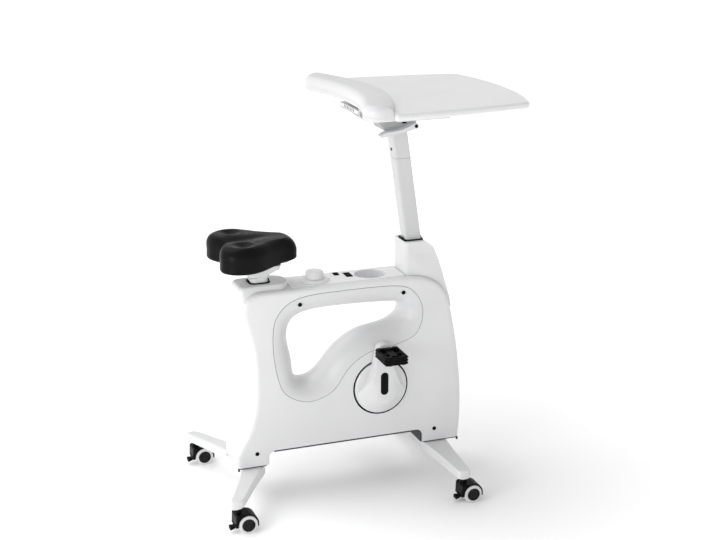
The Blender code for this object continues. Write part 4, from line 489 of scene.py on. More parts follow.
def build_light():
    """A white tent, brighter behind and dimmer above but for one patch, and one soft lamp."""
    world = bpy.data.worlds.new("studio")
    world.use_nodes = True
    tree = world.node_tree
    direction = tree.nodes.new("ShaderNodeSeparateXYZ")
    place = tree.nodes.new("ShaderNodeTexCoord")
    tree.links.new(place.outputs["Generated"], direction.inputs["Vector"])
    tent = remap(tree, direction.outputs["Z"], *TOP_SPAN, SIDE_LIGHT, TOP_LIGHT)
    for axis, span, strength in (("Y", BACK_SPAN, BACK_LIGHT), ("Y", FRONT_SPAN, FRONT_LIGHT),
                                 ("X", REAR_SPAN, REAR_LIGHT)):
        tent = add_up(tree, tent, remap(tree, direction.outputs[axis], *span, 0.0, strength))
    overhead = tree.nodes.new("ShaderNodeVectorMath")
    overhead.operation = "DOT_PRODUCT"
    overhead.inputs[1].default_value = OVERHEAD_WAY
    tree.links.new(place.outputs["Generated"], overhead.inputs[0])
    patch = remap(tree, overhead.outputs["Value"], *OVERHEAD_SPAN, 0.0, OVERHEAD_LIGHT)
    background = tree.nodes["Background"]
    tree.links.new(add_up(tree, tent, patch), background.inputs["Strength"])
    background.inputs["Color"].default_value = (1.0, 1.0, 1.0, 1.0)
    bpy.context.scene.world = world
    bpy.context.scene.view_settings.view_transform = "Standard"
    data = bpy.data.lights.new("key", "AREA")
    data.shape = "DISK"
    data.size = KEY_SIZE
    data.energy = KEY_POWER
    key = bpy.data.objects.new("key", data)
    key.location = KEY_PLACE
    way = Vector(KEY_TARGET) - Vector(KEY_PLACE)
    key.rotation_euler = way.to_track_quat("-Z", "Y").to_euler()
    bpy.context.scene.collection.objects.link(key)


# Saddle

SADDLE_CENTER = (-0.318, 0.0)
SADDLE_BOTTOM_Z = 0.6723
SADDLE_TOP_Z = 0.7425
SADDLE_HALF = [(-0.394, 0.0), (-0.402, 0.022), (-0.4165, 0.052), (-0.4165, 0.086),
               (-0.393, 0.112), (-0.352, 0.1205), (-0.312, 0.105), (-0.272, 0.074),
               (-0.235, 0.052), (-0.209, 0.044), (-0.195, 0.029), (-0.1912, 0.0)]
SADDLE_COUNT = 180
BOWL = (-0.355, 0.0685)
BOWL_DEPTH = 0.0062
BOWL_WIDTH = 0.0200
RIM_HEIGHT = 0.0016
RIM_RADIUS = 0.0310
RIM_WIDTH = 0.0085
LOBE = (-0.352, 0.066)
LOBE_SIZE = (0.060, 0.050)
LOBE_FALL = 0.0020
CHANNEL_DEPTH = 0.0090
CHANNEL_WIDTH = 0.020
CHANNEL_END_X = -0.300
NOSE_FALL = 0.0034
NOSE_X = -0.262
NOSE_BLEND = 0.016

# The saddle's wall. The shoulder's pairs are its size at the lobes and what the front adds.
# The waist pairs a share of the wall's height with an inset, the seam an inset with a height.
FRONT_X = -0.222
FRONT_BLEND = 0.006
SHOULDER_DEPTH = (0.0255, 0.0085)
SHOULDER_RISE = (0.0290, 0.0090)
SADDLE_HEM = 0.0070
HEM_LIFT = 0.0065
HEM_X = -0.240
HEM_BLEND = 0.012
UNDERSIDE_LIFT = 0.0002
UNDERSIDE_INSETS = (0.45, 0.28, 0.16)
HEM_DEGREES = (10, 35, 60, 85)
WAIST = ((0.10, 0.0001), (0.35, 0.0005), (0.62, 0.0005), (0.86, 0.0001))
WALL_SEAM = ((0.0, -0.0016), (0.0002, -0.0006), (0.0001, 0.0006))
SHOULDER_DEGREES = (10, 20, 31, 42, 53, 64, 75, 84)
TOP_RINGS = 16


def swell(distance, width):
    return math.exp(-(distance / width) ** 2)


def step_up(distance, width, height):
    """A soft step from 0 to a height, half-way up where the distance is 0."""
    return height / (1 + math.exp(-distance / width))


def saddle_top(x, y):
    """The top surface: a ringed bowl in each lobe, a channel between them and a lower nose."""
    from_bowl = math.hypot(x - BOWL[0], abs(y) - BOWL[1])
    bowl = BOWL_DEPTH * swell(from_bowl, BOWL_WIDTH)
    rim = RIM_HEIGHT * swell(from_bowl - RIM_RADIUS, RIM_WIDTH)
    fall = LOBE_FALL * math.exp(-(((x - LOBE[0]) / LOBE_SIZE[0]) ** 2
                                  + ((abs(y) - LOBE[1]) / LOBE_SIZE[1]) ** 2))
    channel = step_up(CHANNEL_END_X - x, CHANNEL_WIDTH, CHANNEL_DEPTH * swell(y, CHANNEL_WIDTH))
    nose = step_up(x - NOSE_X, NOSE_BLEND, NOSE_FALL)
    return SADDLE_TOP_Z - fall - bowl + rim - channel - nose


def saddle_column(edge, center):
    """The section under one point of the outline, from the flat underside to near the middle."""
    reach = (edge - center).length
    front = step_up(edge.x - FRONT_X, FRONT_BLEND, 1)
    depth = SHOULDER_DEPTH[0] + SHOULDER_DEPTH[1] * front
    rise = SHOULDER_RISE[0] + SHOULDER_RISE[1] * front
    floor = SADDLE_BOTTOM_Z + UNDERSIDE_LIFT
    hem_z = floor + step_up(edge.x - HEM_X, HEM_BLEND, HEM_LIFT)
    column = [(reach * share, floor) for share in UNDERSIDE_INSETS]
    for degrees in HEM_DEGREES:
        turn = math.radians(degrees)
        column.append((SADDLE_HEM * (1 - math.sin(turn)),
                       hem_z + SADDLE_HEM * (1 - math.cos(turn))))
    start = center + (edge - center) * (1 - depth / reach)
    shoulder_z = saddle_top(start.x, start.y) - rise
    low = hem_z + SADDLE_HEM
    column += [(inset, low + (shoulder_z - low) * share) for share, inset in WAIST]
    column += [(inset, shoulder_z + up) for inset, up in WALL_SEAM]
    for degrees in SHOULDER_DEGREES:
        turn = math.radians(degrees)
        inset = depth * (1 - math.cos(turn))
        place = center + (edge - center) * (1 - inset / reach)
        column.append((inset, saddle_top(place.x, place.y) - rise * (1 - math.sin(turn))))
    for k in range(TOP_RINGS, 0, -1):
        share = (1 - depth / reach) * k / TOP_RINGS
        place = center + (edge - center) * share
        column.append((reach * (1 - share), saddle_top(place.x, place.y)))
    return [(center + (edge - center) * (1 - inset / reach), z) for inset, z in column]


def build_saddle():
    """Rings from the flat underside up the drawn-in wall, over the shoulder and across the top."""
    outline = SADDLE_HALF + [(x, -y) for x, y in SADDLE_HALF[1:-1]][::-1]
    center = Vector(SADDLE_CENTER)
    columns = [saddle_column(edge, center)
               for edge in even_spacing(smooth_path(outline, 8), SADDLE_COUNT)]
    bm = bmesh.new()
    loft_rings(bm, [[(place.x + SHIFT_X, place.y, z) for place, z in level]
                    for level in zip(*columns)])
    saddle = new_object("saddle_cushion", bm, "seat", SEAT_SKIN, 80)
    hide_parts("saddle")


# Arm pad: its near edge is the rider's, and its far edge lies on the board. A bow is how far an
# edge falls back, the reach along the pad at which it does, and the curve's power. A round is a
# width and a height.

PAD_HALF_LENGTH = 0.276
PAD_CORNER = 0.044
PAD_CORNER_STEPS = 15
PAD_FLAT_STEPS = 26
PAD_END_RADIUS = 0.012
PAD_NEAR_X = -0.034
PAD_NEAR_BOW = (0.044, 0.222, 2)
PAD_FAR_X = 0.056
PAD_FAR_BOW = (0.065, 0.265, 1.9)
PAD_END_X = -0.0110
PAD_TOP_Z = 1.1275
PAD_STEP_Z = 1.0971
PAD_BOTTOM_Z = 1.0855
PAD_HEM = 0.0080
PAD_SEAM_UP = 0.0040
PAD_SEAM = ((0.0, -0.0010), (0.0009, 0.0), (0.0, 0.0010))
PAD_NEAR_ROUND = (0.0175, 0.0165)
PAD_FAR_ROUND = (0.016, 0.0135)
PAD_CROWN = 0.0022
PAD_SLOPE = 0.0006
PAD_GAP = 0.0006
BOARD_CORNER = ((0.249, -0.0300), (0.262, -0.0180), (0.266, 0.0), (0.276, 0.0050))
LIP_GAP = 0.0012
LIP_LEAST = 0.0020


def board_rear(y):
    """Where the board's own rear edge runs under the pad."""
    reach = abs(y)
    if reach <= BOARD_CORNER[0][0]:
        return BOARD_CORNER[0][1]
    for (y_low, x_low), (y_high, x_high) in zip(BOARD_CORNER, BOARD_CORNER[1:]):
        if reach <= y_high:
            return x_low + (x_high - x_low) * (reach - y_low) / (y_high - y_low)
    return BOARD_CORNER[-1][1]


def pad_far(y):
    fall, reach, power = PAD_FAR_BOW
    return max(PAD_FAR_X - fall * (abs(y) / reach) ** power, PAD_END_X)


def pad_near(y):
    fall, reach, power = PAD_NEAR_BOW
    edge = PAD_NEAR_X - fall * min(abs(y) / reach, 1.0) ** power
    corner = min(1.0, max(0.0, (abs(y) - (PAD_HALF_LENGTH - PAD_CORNER)) / PAD_CORNER))
    return edge + PAD_CORNER * (1 - math.sqrt(1 - corner ** 2))


def pad_stations():
    """Slices along the pad, closest together round its ends."""
    turns = [math.radians(5 + 85 * k / PAD_CORNER_STEPS) for k in range(PAD_CORNER_STEPS)]
    half = [PAD_HALF_LENGTH - PAD_CORNER * (1 - math.cos(turn)) for turn in turns]
    half += [(PAD_HALF_LENGTH - PAD_CORNER) * (1 - k / PAD_FLAT_STEPS)
             for k in range(PAD_FLAT_STEPS + 1)]
    return [-y for y in half] + half[-2::-1]


def pad_section(y):
    """One slice: under the far edge and the board's lip, up the near side and over the top.

    Towards the pad's ends all its sizes shrink, each by its own share of one inset.
    """
    fade = min(1.0, max(0.0, (abs(y) - (PAD_HALF_LENGTH - PAD_END_RADIUS)) / PAD_END_RADIUS))
    inset = PAD_END_RADIUS * (1 - math.sqrt(1 - fade ** 2))
    near = pad_near(y) + inset * 0.5
    far = pad_far(y) - PAD_GAP
    width = far - near
    lip = board_rear(y) - LIP_GAP
    top = PAD_TOP_Z - inset
    bottom = PAD_BOTTOM_Z + inset * 0.6
    round_x = min(PAD_NEAR_ROUND[0], 0.42 * width)
    round_up = PAD_NEAR_ROUND[1] - inset * 0.6
    hem = PAD_HEM - inset * 0.3
    step = PAD_STEP_Z if lip < far - LIP_LEAST else bottom
    lip = min(lip, far)
    points = [(far, step), ((lip + far) / 2, step), (lip, step), (lip, bottom),
              (near + hem, bottom)]
    for degrees in (70, 45, 20):
        turn = math.radians(degrees)
        points.append((near + hem * (1 - math.cos(turn)), bottom + hem * (1 - math.sin(turn))))
    seam = bottom + hem + PAD_SEAM_UP
    points += [(near + x, seam + z) for x, z in PAD_SEAM]
    for degrees in (0, 12, 24, 36, 48, 60, 72, 83):
        turn = math.radians(degrees)
        points.append((near + round_x * (1 - math.cos(turn)),
                       top - round_up * (1 - math.sin(turn))))
    start = near + round_x
    fall = min(PAD_FAR_ROUND[0], 0.40 * width)
    end = far - fall
    for share in (0.0, 0.2, 0.4, 0.6, 0.8, 1.0):
        crown = PAD_CROWN * math.sin(math.pi * share) - PAD_SLOPE * share
        points.append((start + (end - start) * share, top + crown))
    for degrees in (20, 40, 60, 78, 90):
        turn = math.radians(degrees)
        points.append((end + fall * math.sin(turn),
                       top - PAD_SLOPE - PAD_FAR_ROUND[1] * (1 - math.cos(turn))))
    return [(x + SHIFT_X, y, z) for x, z in points]


def build_pad():
    bm = bmesh.new()
    loft_rings(bm, [pad_section(y) for y in pad_stations()])
    pad = new_object("arm_pad_cushion", bm, "desk", PAD_SKIN, 60)
    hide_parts("arm_pad")


# Board corners: the outline in X and Y. Where the edge is inset, the round's points move
# forward by a share of it.

BOARD_TOP_Z = 1.1061
BOARD_BOTTOM_Z = 1.0887
BOARD_EDGE = 0.0058
BOARD_EDGE_PART = 0.0018
BOARD_FRONT = ((0.0120, 0.2853), (0.0010, 0.2853))
BOARD_ROUND = ((-0.0055, 0.2845), (-0.0092, 0.2815), (-0.0105, 0.2770))
BOARD_ROUND_SHARE = 0.35
BOARD_INNER_Y = 0.2600


def build_board_corners():
    """The board's rounded rear corners, just forward of the pad's ends."""
    low, high = BOARD_BOTTOM_Z, BOARD_TOP_Z
    levels = ((low, BOARD_EDGE), (low + BOARD_EDGE_PART, BOARD_EDGE_PART), (low + BOARD_EDGE, 0.0),
              (high - BOARD_EDGE, 0.0), (high - BOARD_EDGE_PART, BOARD_EDGE_PART),
              (high, BOARD_EDGE))
    bm = bmesh.new()
    for side, _ in SIDES:
        rings = []
        for z, inset in levels:
            small = inset * BOARD_ROUND_SHARE
            outline = [(BOARD_FRONT[0][0], BOARD_INNER_Y)]
            outline += [(x, y - inset) for x, y in BOARD_FRONT]
            outline += [(x + small, y - inset) for x, y in BOARD_ROUND]
            outline += [(BOARD_ROUND[-1][0] + small, BOARD_INNER_Y)]
            rings.append([(x + SHIFT_X, side * y, z) for x, y in outline])
        loft_rings(bm, rings)
    # Painted light: the board's corners take the lighter copy of the white plastic.
    new_object("desktop_corners", bm, "desk", WHITE_PAINTED_LIGHT, 30)


# Window of the body: outlines in X and Z, and the section of the seam's dark strip, painted shade,
# as offsets out and proud

BODY_HALF_WIDTH = 0.065
WINDOW_SEAM = [(-0.200, 0.575), (-0.060, 0.583), (0.091, 0.578), (0.143, 0.546), (0.161, 0.492),
               (0.142, 0.434), (0.086, 0.410), (0.005, 0.396), (-0.056, 0.359), (-0.107, 0.294),
               (-0.175, 0.272), (-0.240, 0.300), (-0.266, 0.360), (-0.277, 0.460), (-0.262, 0.532)]
WINDOW_THROAT = [(-0.150, 0.523), (-0.045, 0.525), (0.078, 0.520), (0.104, 0.514),
                 (0.112, 0.494), (0.100, 0.469), (0.060, 0.456), (-0.015, 0.442),
                 (-0.080, 0.400), (-0.136, 0.338), (-0.176, 0.323), (-0.204, 0.340),
                 (-0.212, 0.395), (-0.223, 0.462), (-0.205, 0.507)]
WINDOW_COUNT = 168
TRIM_WALL = 0.0025
TRIM_LIFT = 0.0004
TRIM_MIDDLE_GAP = 0.0001
SHADE_SEAM_SECTION = ((-0.0004, 0.0), (-0.0004, 0.00035), (0.0011, 0.00025), (0.0011, 0.0))


def build_window_trims():
    """The rolled lips of the hand-hold, finely drawn, each with a thin dark strip round it, painted
    shade in the seam's gap.
    """
    seam, throat = (even_spacing(smooth_path(path, 12), WINDOW_COUNT)
                    for path in (WINDOW_SEAM, WINDOW_THROAT))
    outward = []
    for i in range(WINDOW_COUNT):
        along = (seam[(i + 1) % WINDOW_COUNT] - seam[i - 1]).normalized()
        outward.append(Vector((-along.y, along.x)))
    for side, name in SIDES:
        rings = []
        for angles, wall in ((range(0, 91, 9), 0.0), (range(90, -1, -30), TRIM_WALL)):
            for degrees in angles:
                angle = math.radians(degrees)
                depth = (BODY_HALF_WIDTH + TRIM_LIFT - wall) * math.cos(angle) + TRIM_MIDDLE_GAP
                ring = []
                for a, b in zip(seam, throat):
                    across = b - a
                    place = a + across * (math.sin(angle) * (1 - wall / across.length))
                    ring.append((place.x + SHIFT_X, side * depth, place.y))
                rings.append(ring)
        bm = bmesh.new()
        closed_ring(bm, rings)
        trim = new_object(name + "_window_lip", bm, "base", GREY, 30)
        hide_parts(name + "_window_trim")
        # A thin dark strip along the seam: painted shade in the gap between lip and shell.
        bm = bmesh.new()
        closed_ring(bm, [[(a.x + way.x * out + SHIFT_X, side * (BODY_HALF_WIDTH + proud),
                           a.y + way.y * out) for a, way in zip(seam, outward)]
                         for out, proud in SHADE_SEAM_SECTION])
        new_object(name + "_window_shade_seam", bm, "base", SHADE_DARK_GREY, 30)


# Screws and crank liners: places in X and Z, and profiles of radius and height

SCREWS = ((-0.199, 0.557), (0.103, 0.558), (-0.328, 0.137), (0.202, 0.136))
SCREW_PROFILE = ((0.0, 0.0003), (0.0020, 0.0003), (0.0024, 0.0010), (0.0042, 0.0013),
                 (0.0052, 0.0010), (0.0058, 0.0004), (0.0059, -0.0006))
CRANK = (0.0362, 0.2872)
LINER_PROFILE = ((0.0777, 0.045), (0.0777, 0.0636), (0.0781, 0.0641), (0.0796, 0.0641),
                 (0.0801, 0.0636), (0.0801, 0.045), (0.0777, 0.045))
# The lip widens the black ring round the disc: painted shade for the disc's shadowed side wall.
SHADE_LIP_PROFILE = ((0.0792, 0.0640), (0.0793, 0.0653), (0.0812, 0.0655), (0.0818, 0.0651),
               (0.0818, 0.0644), (0.0792, 0.0640))
SHADE_LIP_OFFSET = (-0.0007, 0.0003)


def build_screws():
    """Dark recessed screw heads that hold the two shells to the frame."""
    for side, name in SIDES:
        bm = bmesh.new()
        for x, z in SCREWS:
            place = (x + SHIFT_X, side * BODY_HALF_WIDTH, z)
            turn_profile(bm, SCREW_PROFILE, stand(place, (0, side, 0)), 24)
        new_object("screws_" + name, bm, "base", BLACK, 40)


def build_crank_liners():
    """The black sleeve between each crank's disc and the shell, and its lip on the shell, which
    widens the black ring as painted shade for the disc's shadowed side wall.
    """
    for side, name in SIDES:
        bm = bmesh.new()
        for profile, (x, z) in ((LINER_PROFILE, (0.0, 0.0)), (SHADE_LIP_PROFILE, SHADE_LIP_OFFSET)):
            place = (CRANK[0] + x + SHIFT_X, 0.0, CRANK[1] + z)
            turn_profile(bm, profile, stand(place, (0, side, 0)), 96)
        new_object("crank_liner_" + name, bm, "base", BLACK, 40)


# Underside of the body: a cover is a thickness and a half width, a section a half width and a
# corner's radius

BELLY_Z = 0.140
BELLY_CORNER = 0.018
REAR_FOOT_FRONT_X = -0.297
FRONT_FOOT_REAR_X = 0.164
FOOT_Z = 0.100
COVER_GAP = 0.0004
COVER_END_Z = FOOT_Z + 0.0008
# The belly's cover is dark grey: painted shade for the shadowed open underside.
BELLY_SHADE_COVER = (0.0042, 0.0642)
REAR_FOOT_COVER = (0.0026, 0.0640)

# Each foot's gasket, whose dark grey is painted shade in the gap between foot and leg: its two ends
# in X, those of its hole, and where its corner tab starts
FOOT_SHADE_GASKETS = (("rear", (-0.3815, -0.2985), (-0.3665, -0.3055), -0.3825),
           ("front", (0.1655, 0.2770), (0.1715, 0.2625), 0.2735))
SHADE_GASKET_LOW = 0.0965
SHADE_GASKET_HIGH = FOOT_Z - 0.0003
SHADE_GASKET_SECTION = (0.0632, 0.0085)
SHADE_GASKET_HOLE = (0.0455, 0.0010)
TAB_LENGTH = 0.0050
TAB_SECTION = (0.0030, 0.0008)
TAB_Y = 0.0590
TAB_LEVELS = (SHADE_GASKET_LOW - 0.0065, SHADE_GASKET_LOW + 0.0005)


def build_belly_cover():
    """The covers that close the body from below: white at the rear foot, and dark along the belly,
    where the dark grey is painted shade for the shadowed underside.
    """
    corner_z = BELLY_Z - BELLY_CORNER
    radius = BELLY_CORNER - COVER_GAP
    rear = [Vector((REAR_FOOT_FRONT_X + COVER_GAP, COVER_END_Z)),
            Vector((REAR_FOOT_FRONT_X + COVER_GAP, corner_z))]
    rear += arc(REAR_FOOT_FRONT_X + BELLY_CORNER, corner_z, radius, range(165, 89, -15))
    path = rear[-1:]
    path += arc(FRONT_FOOT_REAR_X - BELLY_CORNER, corner_z, radius, range(90, -1, -15))
    path.append(Vector((FRONT_FOOT_REAR_X - COVER_GAP, COVER_END_Z)))
    bm = bmesh.new()
    ribbon(bm, path, *BELLY_SHADE_COVER)
    new_object("belly_shade_cover", bm, "base", SHADE_DARK_GREY, 40)
    bm = bmesh.new()
    ribbon(bm, rear, *REAR_FOOT_COVER)
    new_object("rear_foot_cover", bm, "base", WHITE, 40)


def build_foot_shade_gaskets():
    """Dark packing between each foot of the body and the floor leg under it, with corner tabs; its
    dark grey is painted shade in the gap between them.
    """
    for name, ends, hole, tab_x in FOOT_SHADE_GASKETS:
        outer = round_box(*ends, *SHADE_GASKET_SECTION)
        inner = round_box(*hole, *SHADE_GASKET_HOLE)
        bm = bmesh.new()
        closed_ring(bm, [[(x + SHIFT_X, y, z) for x, y in loop] for loop, z in
                         ((outer, SHADE_GASKET_LOW), (outer, SHADE_GASKET_HIGH),
                          (inner, SHADE_GASKET_HIGH), (inner, SHADE_GASKET_LOW))])
        tab_x += SHIFT_X
        tab = round_box(tab_x, tab_x + TAB_LENGTH, *TAB_SECTION, 2)
        for side, _ in SIDES:
            loft_rings(bm, [[(x, y + side * TAB_Y, z) for x, y in tab] for z in TAB_LEVELS])
        new_object(name + "_foot_shade_gasket", bm, "base", SHADE_DARK_GREY, 40)


# Seat shroud: each level's height, rear end, front end and half width; each ring of the post's
# seal by half width, corner and height

SHROUD_LEVELS = ((0.6160, -0.3505, -0.2235, 0.0385), (0.6154, -0.3550, -0.2205, 0.0415),
                 (0.6130, -0.3590, -0.2190, 0.0440), (0.6090, -0.3618, -0.2185, 0.0455),
                 (0.6030, -0.3634, -0.2182, 0.0468), (0.5930, -0.3636, -0.2170, 0.0487),
                 (0.5800, -0.3618, -0.2150, 0.0503), (0.5640, -0.3575, -0.2130, 0.0515),
                 (0.5460, -0.3532, -0.2120, 0.0520), (0.5280, -0.3490, -0.2120, 0.0522))
SHROUD_REAR_ROUND = 0.0150
SHROUD_FRONT_ROUND = 0.0360
SHROUD_HOLE = 0.0272
SHROUD_HOLE_CORNER = 0.0145
SHROUD_HOLE_LEVELS = (0.6120, 0.6160)
SEAT_LEAN = math.radians(6.0)
SEAT_AXIS = (-0.298, 0.62)
SEAL_RINGS = ((0.0300, 0.0155, 0.6155), (0.0300, 0.0155, 0.6168), (0.0292, 0.0150, 0.6174),
              (0.0268, 0.0140, 0.6174), (0.0262, 0.0135, 0.6166), (0.0262, 0.0135, 0.6155))
SEAL_Z = 0.616


def seat_x(z):
    return SEAT_AXIS[0] - math.tan(SEAT_LEAN) * (z - SEAT_AXIS[1]) + SHIFT_X


def build_seat_shroud():
    """The cap round the seat post, with a softer rear corner than the CAD solid's."""
    hole = round_box(-SHROUD_HOLE, SHROUD_HOLE, SHROUD_HOLE, SHROUD_HOLE_CORNER, 12)
    rings = [[(seat_x(z) + x, y, z) for x, y in hole] for z in SHROUD_HOLE_LEVELS]
    for z, rear, front, half in SHROUD_LEVELS:
        ring = round_box(rear, front, half, SHROUD_REAR_ROUND, 12, SHROUD_FRONT_ROUND)
        rings.append([(x + SHIFT_X, y, z) for x, y in ring])
    bm = bmesh.new()
    loft_rings(bm, rings, close_first=False)
    shroud = new_object("seat_shroud_cap", bm, "base", WHITE, 30)
    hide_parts("seat_shroud")


def build_post_seal():
    """The black seal in the shroud's hole, round the seat post."""
    middle_x = seat_x(SEAL_Z)
    bm = bmesh.new()
    closed_ring(bm, [[(middle_x + x, y, z) for x, y in round_box(-half, half, half, corner, 8)]
                     for half, corner, z in SEAL_RINGS])
    new_object("seat_post_seal", bm, "base", BLACK, 40)


# Casters: a pressed hub has a boss, a groove, radial flutes and a rolled rim that ends inside.
# Each row of its profile holds up to a radius, and gives the height and the flutes' depth.
# The radii drawn are closest together where the height changes.

STEMS = {"rear_right": (-0.432, -0.232), "rear_left": (-0.432, 0.232),
         "front_right": (0.2045, -0.267), "front_left": (0.2045, 0.267)}
CASTER_TRAIL = 0.021
WHEEL_RADIUS = 0.026
WHEEL_OUTER = 0.027
HUB_RADII = (0.0040, 0.0048, 0.0050, 0.0061, 0.0066, 0.0090, 0.0120, 0.0150, 0.0157, 0.0160,
             0.0176, 0.0180, 0.0182)
HUB_PROFILE = ((0.0048, 0.0016, 0.0), (0.0062, 0.0004, 0.0), (0.0158, 0.0006, 0.0007),
               (0.0178, 0.0016, 0.0), (0.0200, -0.0006, 0.0))
HUB_STEPS = 112
HUB_MIDDLE = 0.0018
HUB_FLUTES = 14


def hub_height(radius, angle):
    height, depth = next(row[1:] for row in HUB_PROFILE if radius < row[0])
    return height + depth * math.cos(HUB_FLUTES * angle)


def build_hubs():
    """Black hub caps on both faces of every pair of wheels."""
    angles = [2 * math.pi * i / HUB_STEPS for i in range(HUB_STEPS)]
    for name, (x, y) in STEMS.items():
        bm = bmesh.new()
        for side, _ in SIDES:
            middle = (x + CASTER_TRAIL + SHIFT_X, y + side * WHEEL_OUTER, WHEEL_RADIUS)
            place = stand(middle, (0, side, 0))
            center = bm.verts.new(place @ Vector((0, 0, HUB_MIDDLE)))
            rows = [[bm.verts.new(place @ round_z(radius, angle, hub_height(radius, angle)))
                     for angle in angles] for radius in HUB_RADII]
            for i in range(HUB_STEPS):
                j = (i + 1) % HUB_STEPS
                bm.faces.new((center, rows[0][i], rows[0][j]))
                for near, far in zip(rows, rows[1:]):
                    bm.faces.new((near[i], far[i], far[j], near[j]))
        new_object(name + "_hub_caps", bm, name + "_rollers", HUB_BLACK, 40)


# Desk column, its head and the height lever: places in X and Z, profiles as above, and the
# sockets' rings by height above the head's side and inset

MAST_LEAN = math.radians(8.2)
MAST_AXIS = (0.1486, 0.700)
MAST_HALF = 0.02275
MAST_CORNER = 0.0055
STOP_SCREW_Z = 0.952
STOP_SCREW_LIFT = 0.0002
STOP_SCREW_PROFILE = ((0.0, -0.0006), (0.0019, -0.0006), (0.0021, 0.0006), (0.0040, 0.0011),
                      (0.0046, 0.0004), (0.0046, -0.0004))
SEAM_Z = 0.929
SEAM_HALF_HEIGHT = 0.0006
SEAM_DEPTHS = (-0.0003, 0.0002)
HEAD_HALF_WIDTH = 0.038
SOCKET = (0.1110, 1.0345)
SOCKET_SIZE = (0.0064, 0.0054)
SOCKET_CORNER = 0.0016
SOCKET_RINGS = ((-0.0004, 0.0), (0.0005, 0.0), (0.0008, 0.0003), (0.0008, 0.0008), (0.0002, 0.0012))
LEVER_PIVOT = (0.1362, 1.0245)
LEVER_FACE_Y = -0.0630
LEVER_SCREW_PROFILE = ((0.0, 0.0002), (0.0022, 0.0002), (0.0024, 0.0009), (0.0042, 0.0011),
                       (0.0048, 0.0008), (0.0050, -0.0004))


def mast_x(z):
    return MAST_AXIS[0] - math.tan(MAST_LEAN) * (z - MAST_AXIS[1])


def build_column_screw():
    """The stop screw on the column's rear face."""
    out = (MAST_HALF + STOP_SCREW_LIFT) / math.cos(MAST_LEAN)
    place = (mast_x(STOP_SCREW_Z) - out + SHIFT_X, 0.0, STOP_SCREW_Z)
    outward = (-math.cos(MAST_LEAN), 0.0, -math.sin(MAST_LEAN))
    bm = bmesh.new()
    turn_profile(bm, STOP_SCREW_PROFILE, stand(place, outward), 24)
    new_object("column_stop_screw", bm, "mast", BLACK, 40)


def build_column_seam():
    """The fine grey line round the column, below its stop screw."""
    stretch = 1 / math.cos(MAST_LEAN)
    sunk, proud = SEAM_DEPTHS
    rings = []
    for up, depth in ((-1, sunk), (-1, proud), (1, proud), (1, sunk)):
        z = SEAM_Z + up * SEAM_HALF_HEIGHT
        half = MAST_HALF + depth
        rings.append([(mast_x(z) + SHIFT_X + x * stretch, y, z)
                      for x, y in round_box(-half, half, half, MAST_CORNER + depth)])
    bm = bmesh.new()
    closed_ring(bm, rings)
    new_object("column_seam", bm, "mast", SEAM, 30)


def build_head_sockets():
    """The dark square pockets in both sides of the column head, for its clamp."""
    bm = bmesh.new()
    for side, _ in SIDES:
        rings = []
        for depth, inset in SOCKET_RINGS:
            loop = round_box(SOCKET[0] - SOCKET_SIZE[0] + inset, SOCKET[0] + SOCKET_SIZE[0] - inset,
                             SOCKET_SIZE[1] - inset, SOCKET_CORNER, 3)
            rings.append([(x + SHIFT_X, side * (HEAD_HALF_WIDTH + depth), SOCKET[1] + z)
                          for x, z in loop])
        loft_rings(bm, rings)
    new_object("head_sockets", bm, "mast", BLACK, 30)


def build_lever_screw():
    """The pivot screw in the height lever's outer face."""
    place = (LEVER_PIVOT[0] + SHIFT_X, LEVER_FACE_Y, LEVER_PIVOT[1])
    bm = bmesh.new()
    turn_profile(bm, LEVER_SCREW_PROFILE, stand(place, (0, -1, 0)), 24)
    new_object("height_lever_screw", bm, "height_release", BLACK, 40)


# Slide paddle: its rim's outer and inner edge by half length, inset in height and corner

PADDLE_X = -0.0330
PADDLE_Z = (1.0655, 1.0797)
PADDLE_RIM = ((0.0696, 0.0003, 0.0020), (0.0686, 0.0013, 0.0012))
RIM_DEPTHS = (0.0003, -0.0002)
GROOVES = 7
GROOVE_START = -0.033
GROOVE_PITCH = 0.012
GROOVE_HALF_WIDTH = 0.0021
GROOVE_INSET = 0.0034
GROOVE_CORNER = 0.0012
GROOVE_RINGS = ((0.0004, 0.0), (-0.0002, 0.0), (-0.0003, 0.0004))


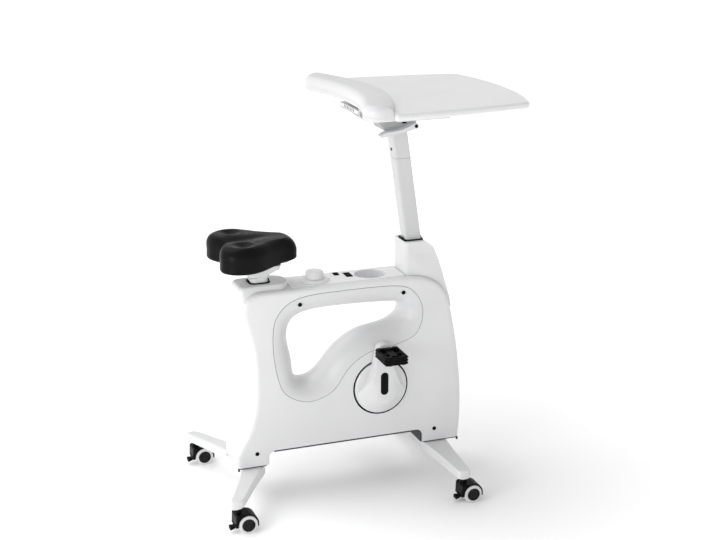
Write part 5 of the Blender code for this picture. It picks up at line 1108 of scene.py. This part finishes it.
def build_paddle_marks():
    """The slide paddle's thin rim and the finger grooves in its middle, dark grey as painted shade
    in the rim's gap and in the grooves.
    """
    z_middle = (PADDLE_Z[0] + PADDLE_Z[1]) / 2
    half_z = (PADDLE_Z[1] - PADDLE_Z[0]) / 2
    sunk, proud = RIM_DEPTHS
    outer, inner = (round_box(-half, half, half_z - inset, corner, 3)
                    for half, inset, corner in PADDLE_RIM)
    bm = bmesh.new()
    closed_ring(bm, [[(PADDLE_X + depth + SHIFT_X, y, z_middle + z) for y, z in loop]
                     for loop, depth in ((outer, sunk), (outer, proud),
                                         (inner, proud), (inner, sunk))])
    for k in range(GROOVES):
        middle_y = GROOVE_START + GROOVE_PITCH * k
        rings = []
        for depth, inset in GROOVE_RINGS:
            loop = round_box(-GROOVE_HALF_WIDTH + inset, GROOVE_HALF_WIDTH - inset,
                             half_z - GROOVE_INSET - inset, GROOVE_CORNER, 3)
            rings.append([(PADDLE_X + depth + SHIFT_X, middle_y + y, z_middle + z)
                          for y, z in loop])
        loft_rings(bm, rings)
    # Dark grey: painted shade in the rim's gap and in the grooves.
    new_object("slide_paddle_grooves", bm, "slide_release", SHADE_DARK_GREY, 30)


# Pedals: a ridge's section as offsets up and out, and the studs' insets in X, Y and Z

RIDGE_LEVELS = (-0.0088, -0.0003, 0.0082)
RIDGE_SECTION = ((-0.0024, -0.0012), (-0.0009, 0.0011), (0.0009, 0.0011), (0.0024, -0.0012))
RIDGE_CORNER = 0.0090
STUD_PROFILE = ((0.0024, -0.0004), (0.0023, 0.0008), (0.0016, 0.0015), (0.0, 0.0017))
STUDS = 6
STUD_INSET = (0.0048, 0.0085, 0.0003)


def build_pedal_grips():
    """Ridges round each pedal and studs along both of its faces."""
    for _, name in SIDES:
        low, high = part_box(name + "_pedal")
        center = (low + high) / 2
        half = (high - low) / 2
        bm = bmesh.new()
        for level in RIDGE_LEVELS:
            rings = []
            for up, out in RIDGE_SECTION:
                loop = round_box(-half.x - out, half.x + out, half.y + out, RIDGE_CORNER)
                rings.append([(center.x + x, center.y + y, center.z + level + up) for x, y in loop])
            closed_ring(bm, rings)
        reach_x, reach_y, reach_z = (size - inset for size, inset in zip(half, STUD_INSET))
        last = (STUDS - 1) / 2
        for side in (-1, 1):
            for across in (-1, 1):
                for k in range(STUDS):
                    place = (center.x + across * reach_x, center.y + (k - last) / last * reach_y,
                             center.z + side * reach_z)
                    turn_profile(bm, STUD_PROFILE, stand(place, (0, 0, side)), 12)
        new_object(name + "_pedal_grip", bm, "pedal_" + name, BLACK, 40)


paint_nodes()
build_camera()
build_stage()
build_light()
build_saddle()
build_pad()
build_seat_shroud()
build_post_seal()
build_window_trims()
build_screws()
build_crank_liners()
build_belly_cover()
build_foot_shade_gaskets()
build_hubs()
build_column_screw()
build_column_seam()
build_board_corners()
build_head_sockets()
build_lever_screw()
build_paddle_marks()
build_pedal_grips()
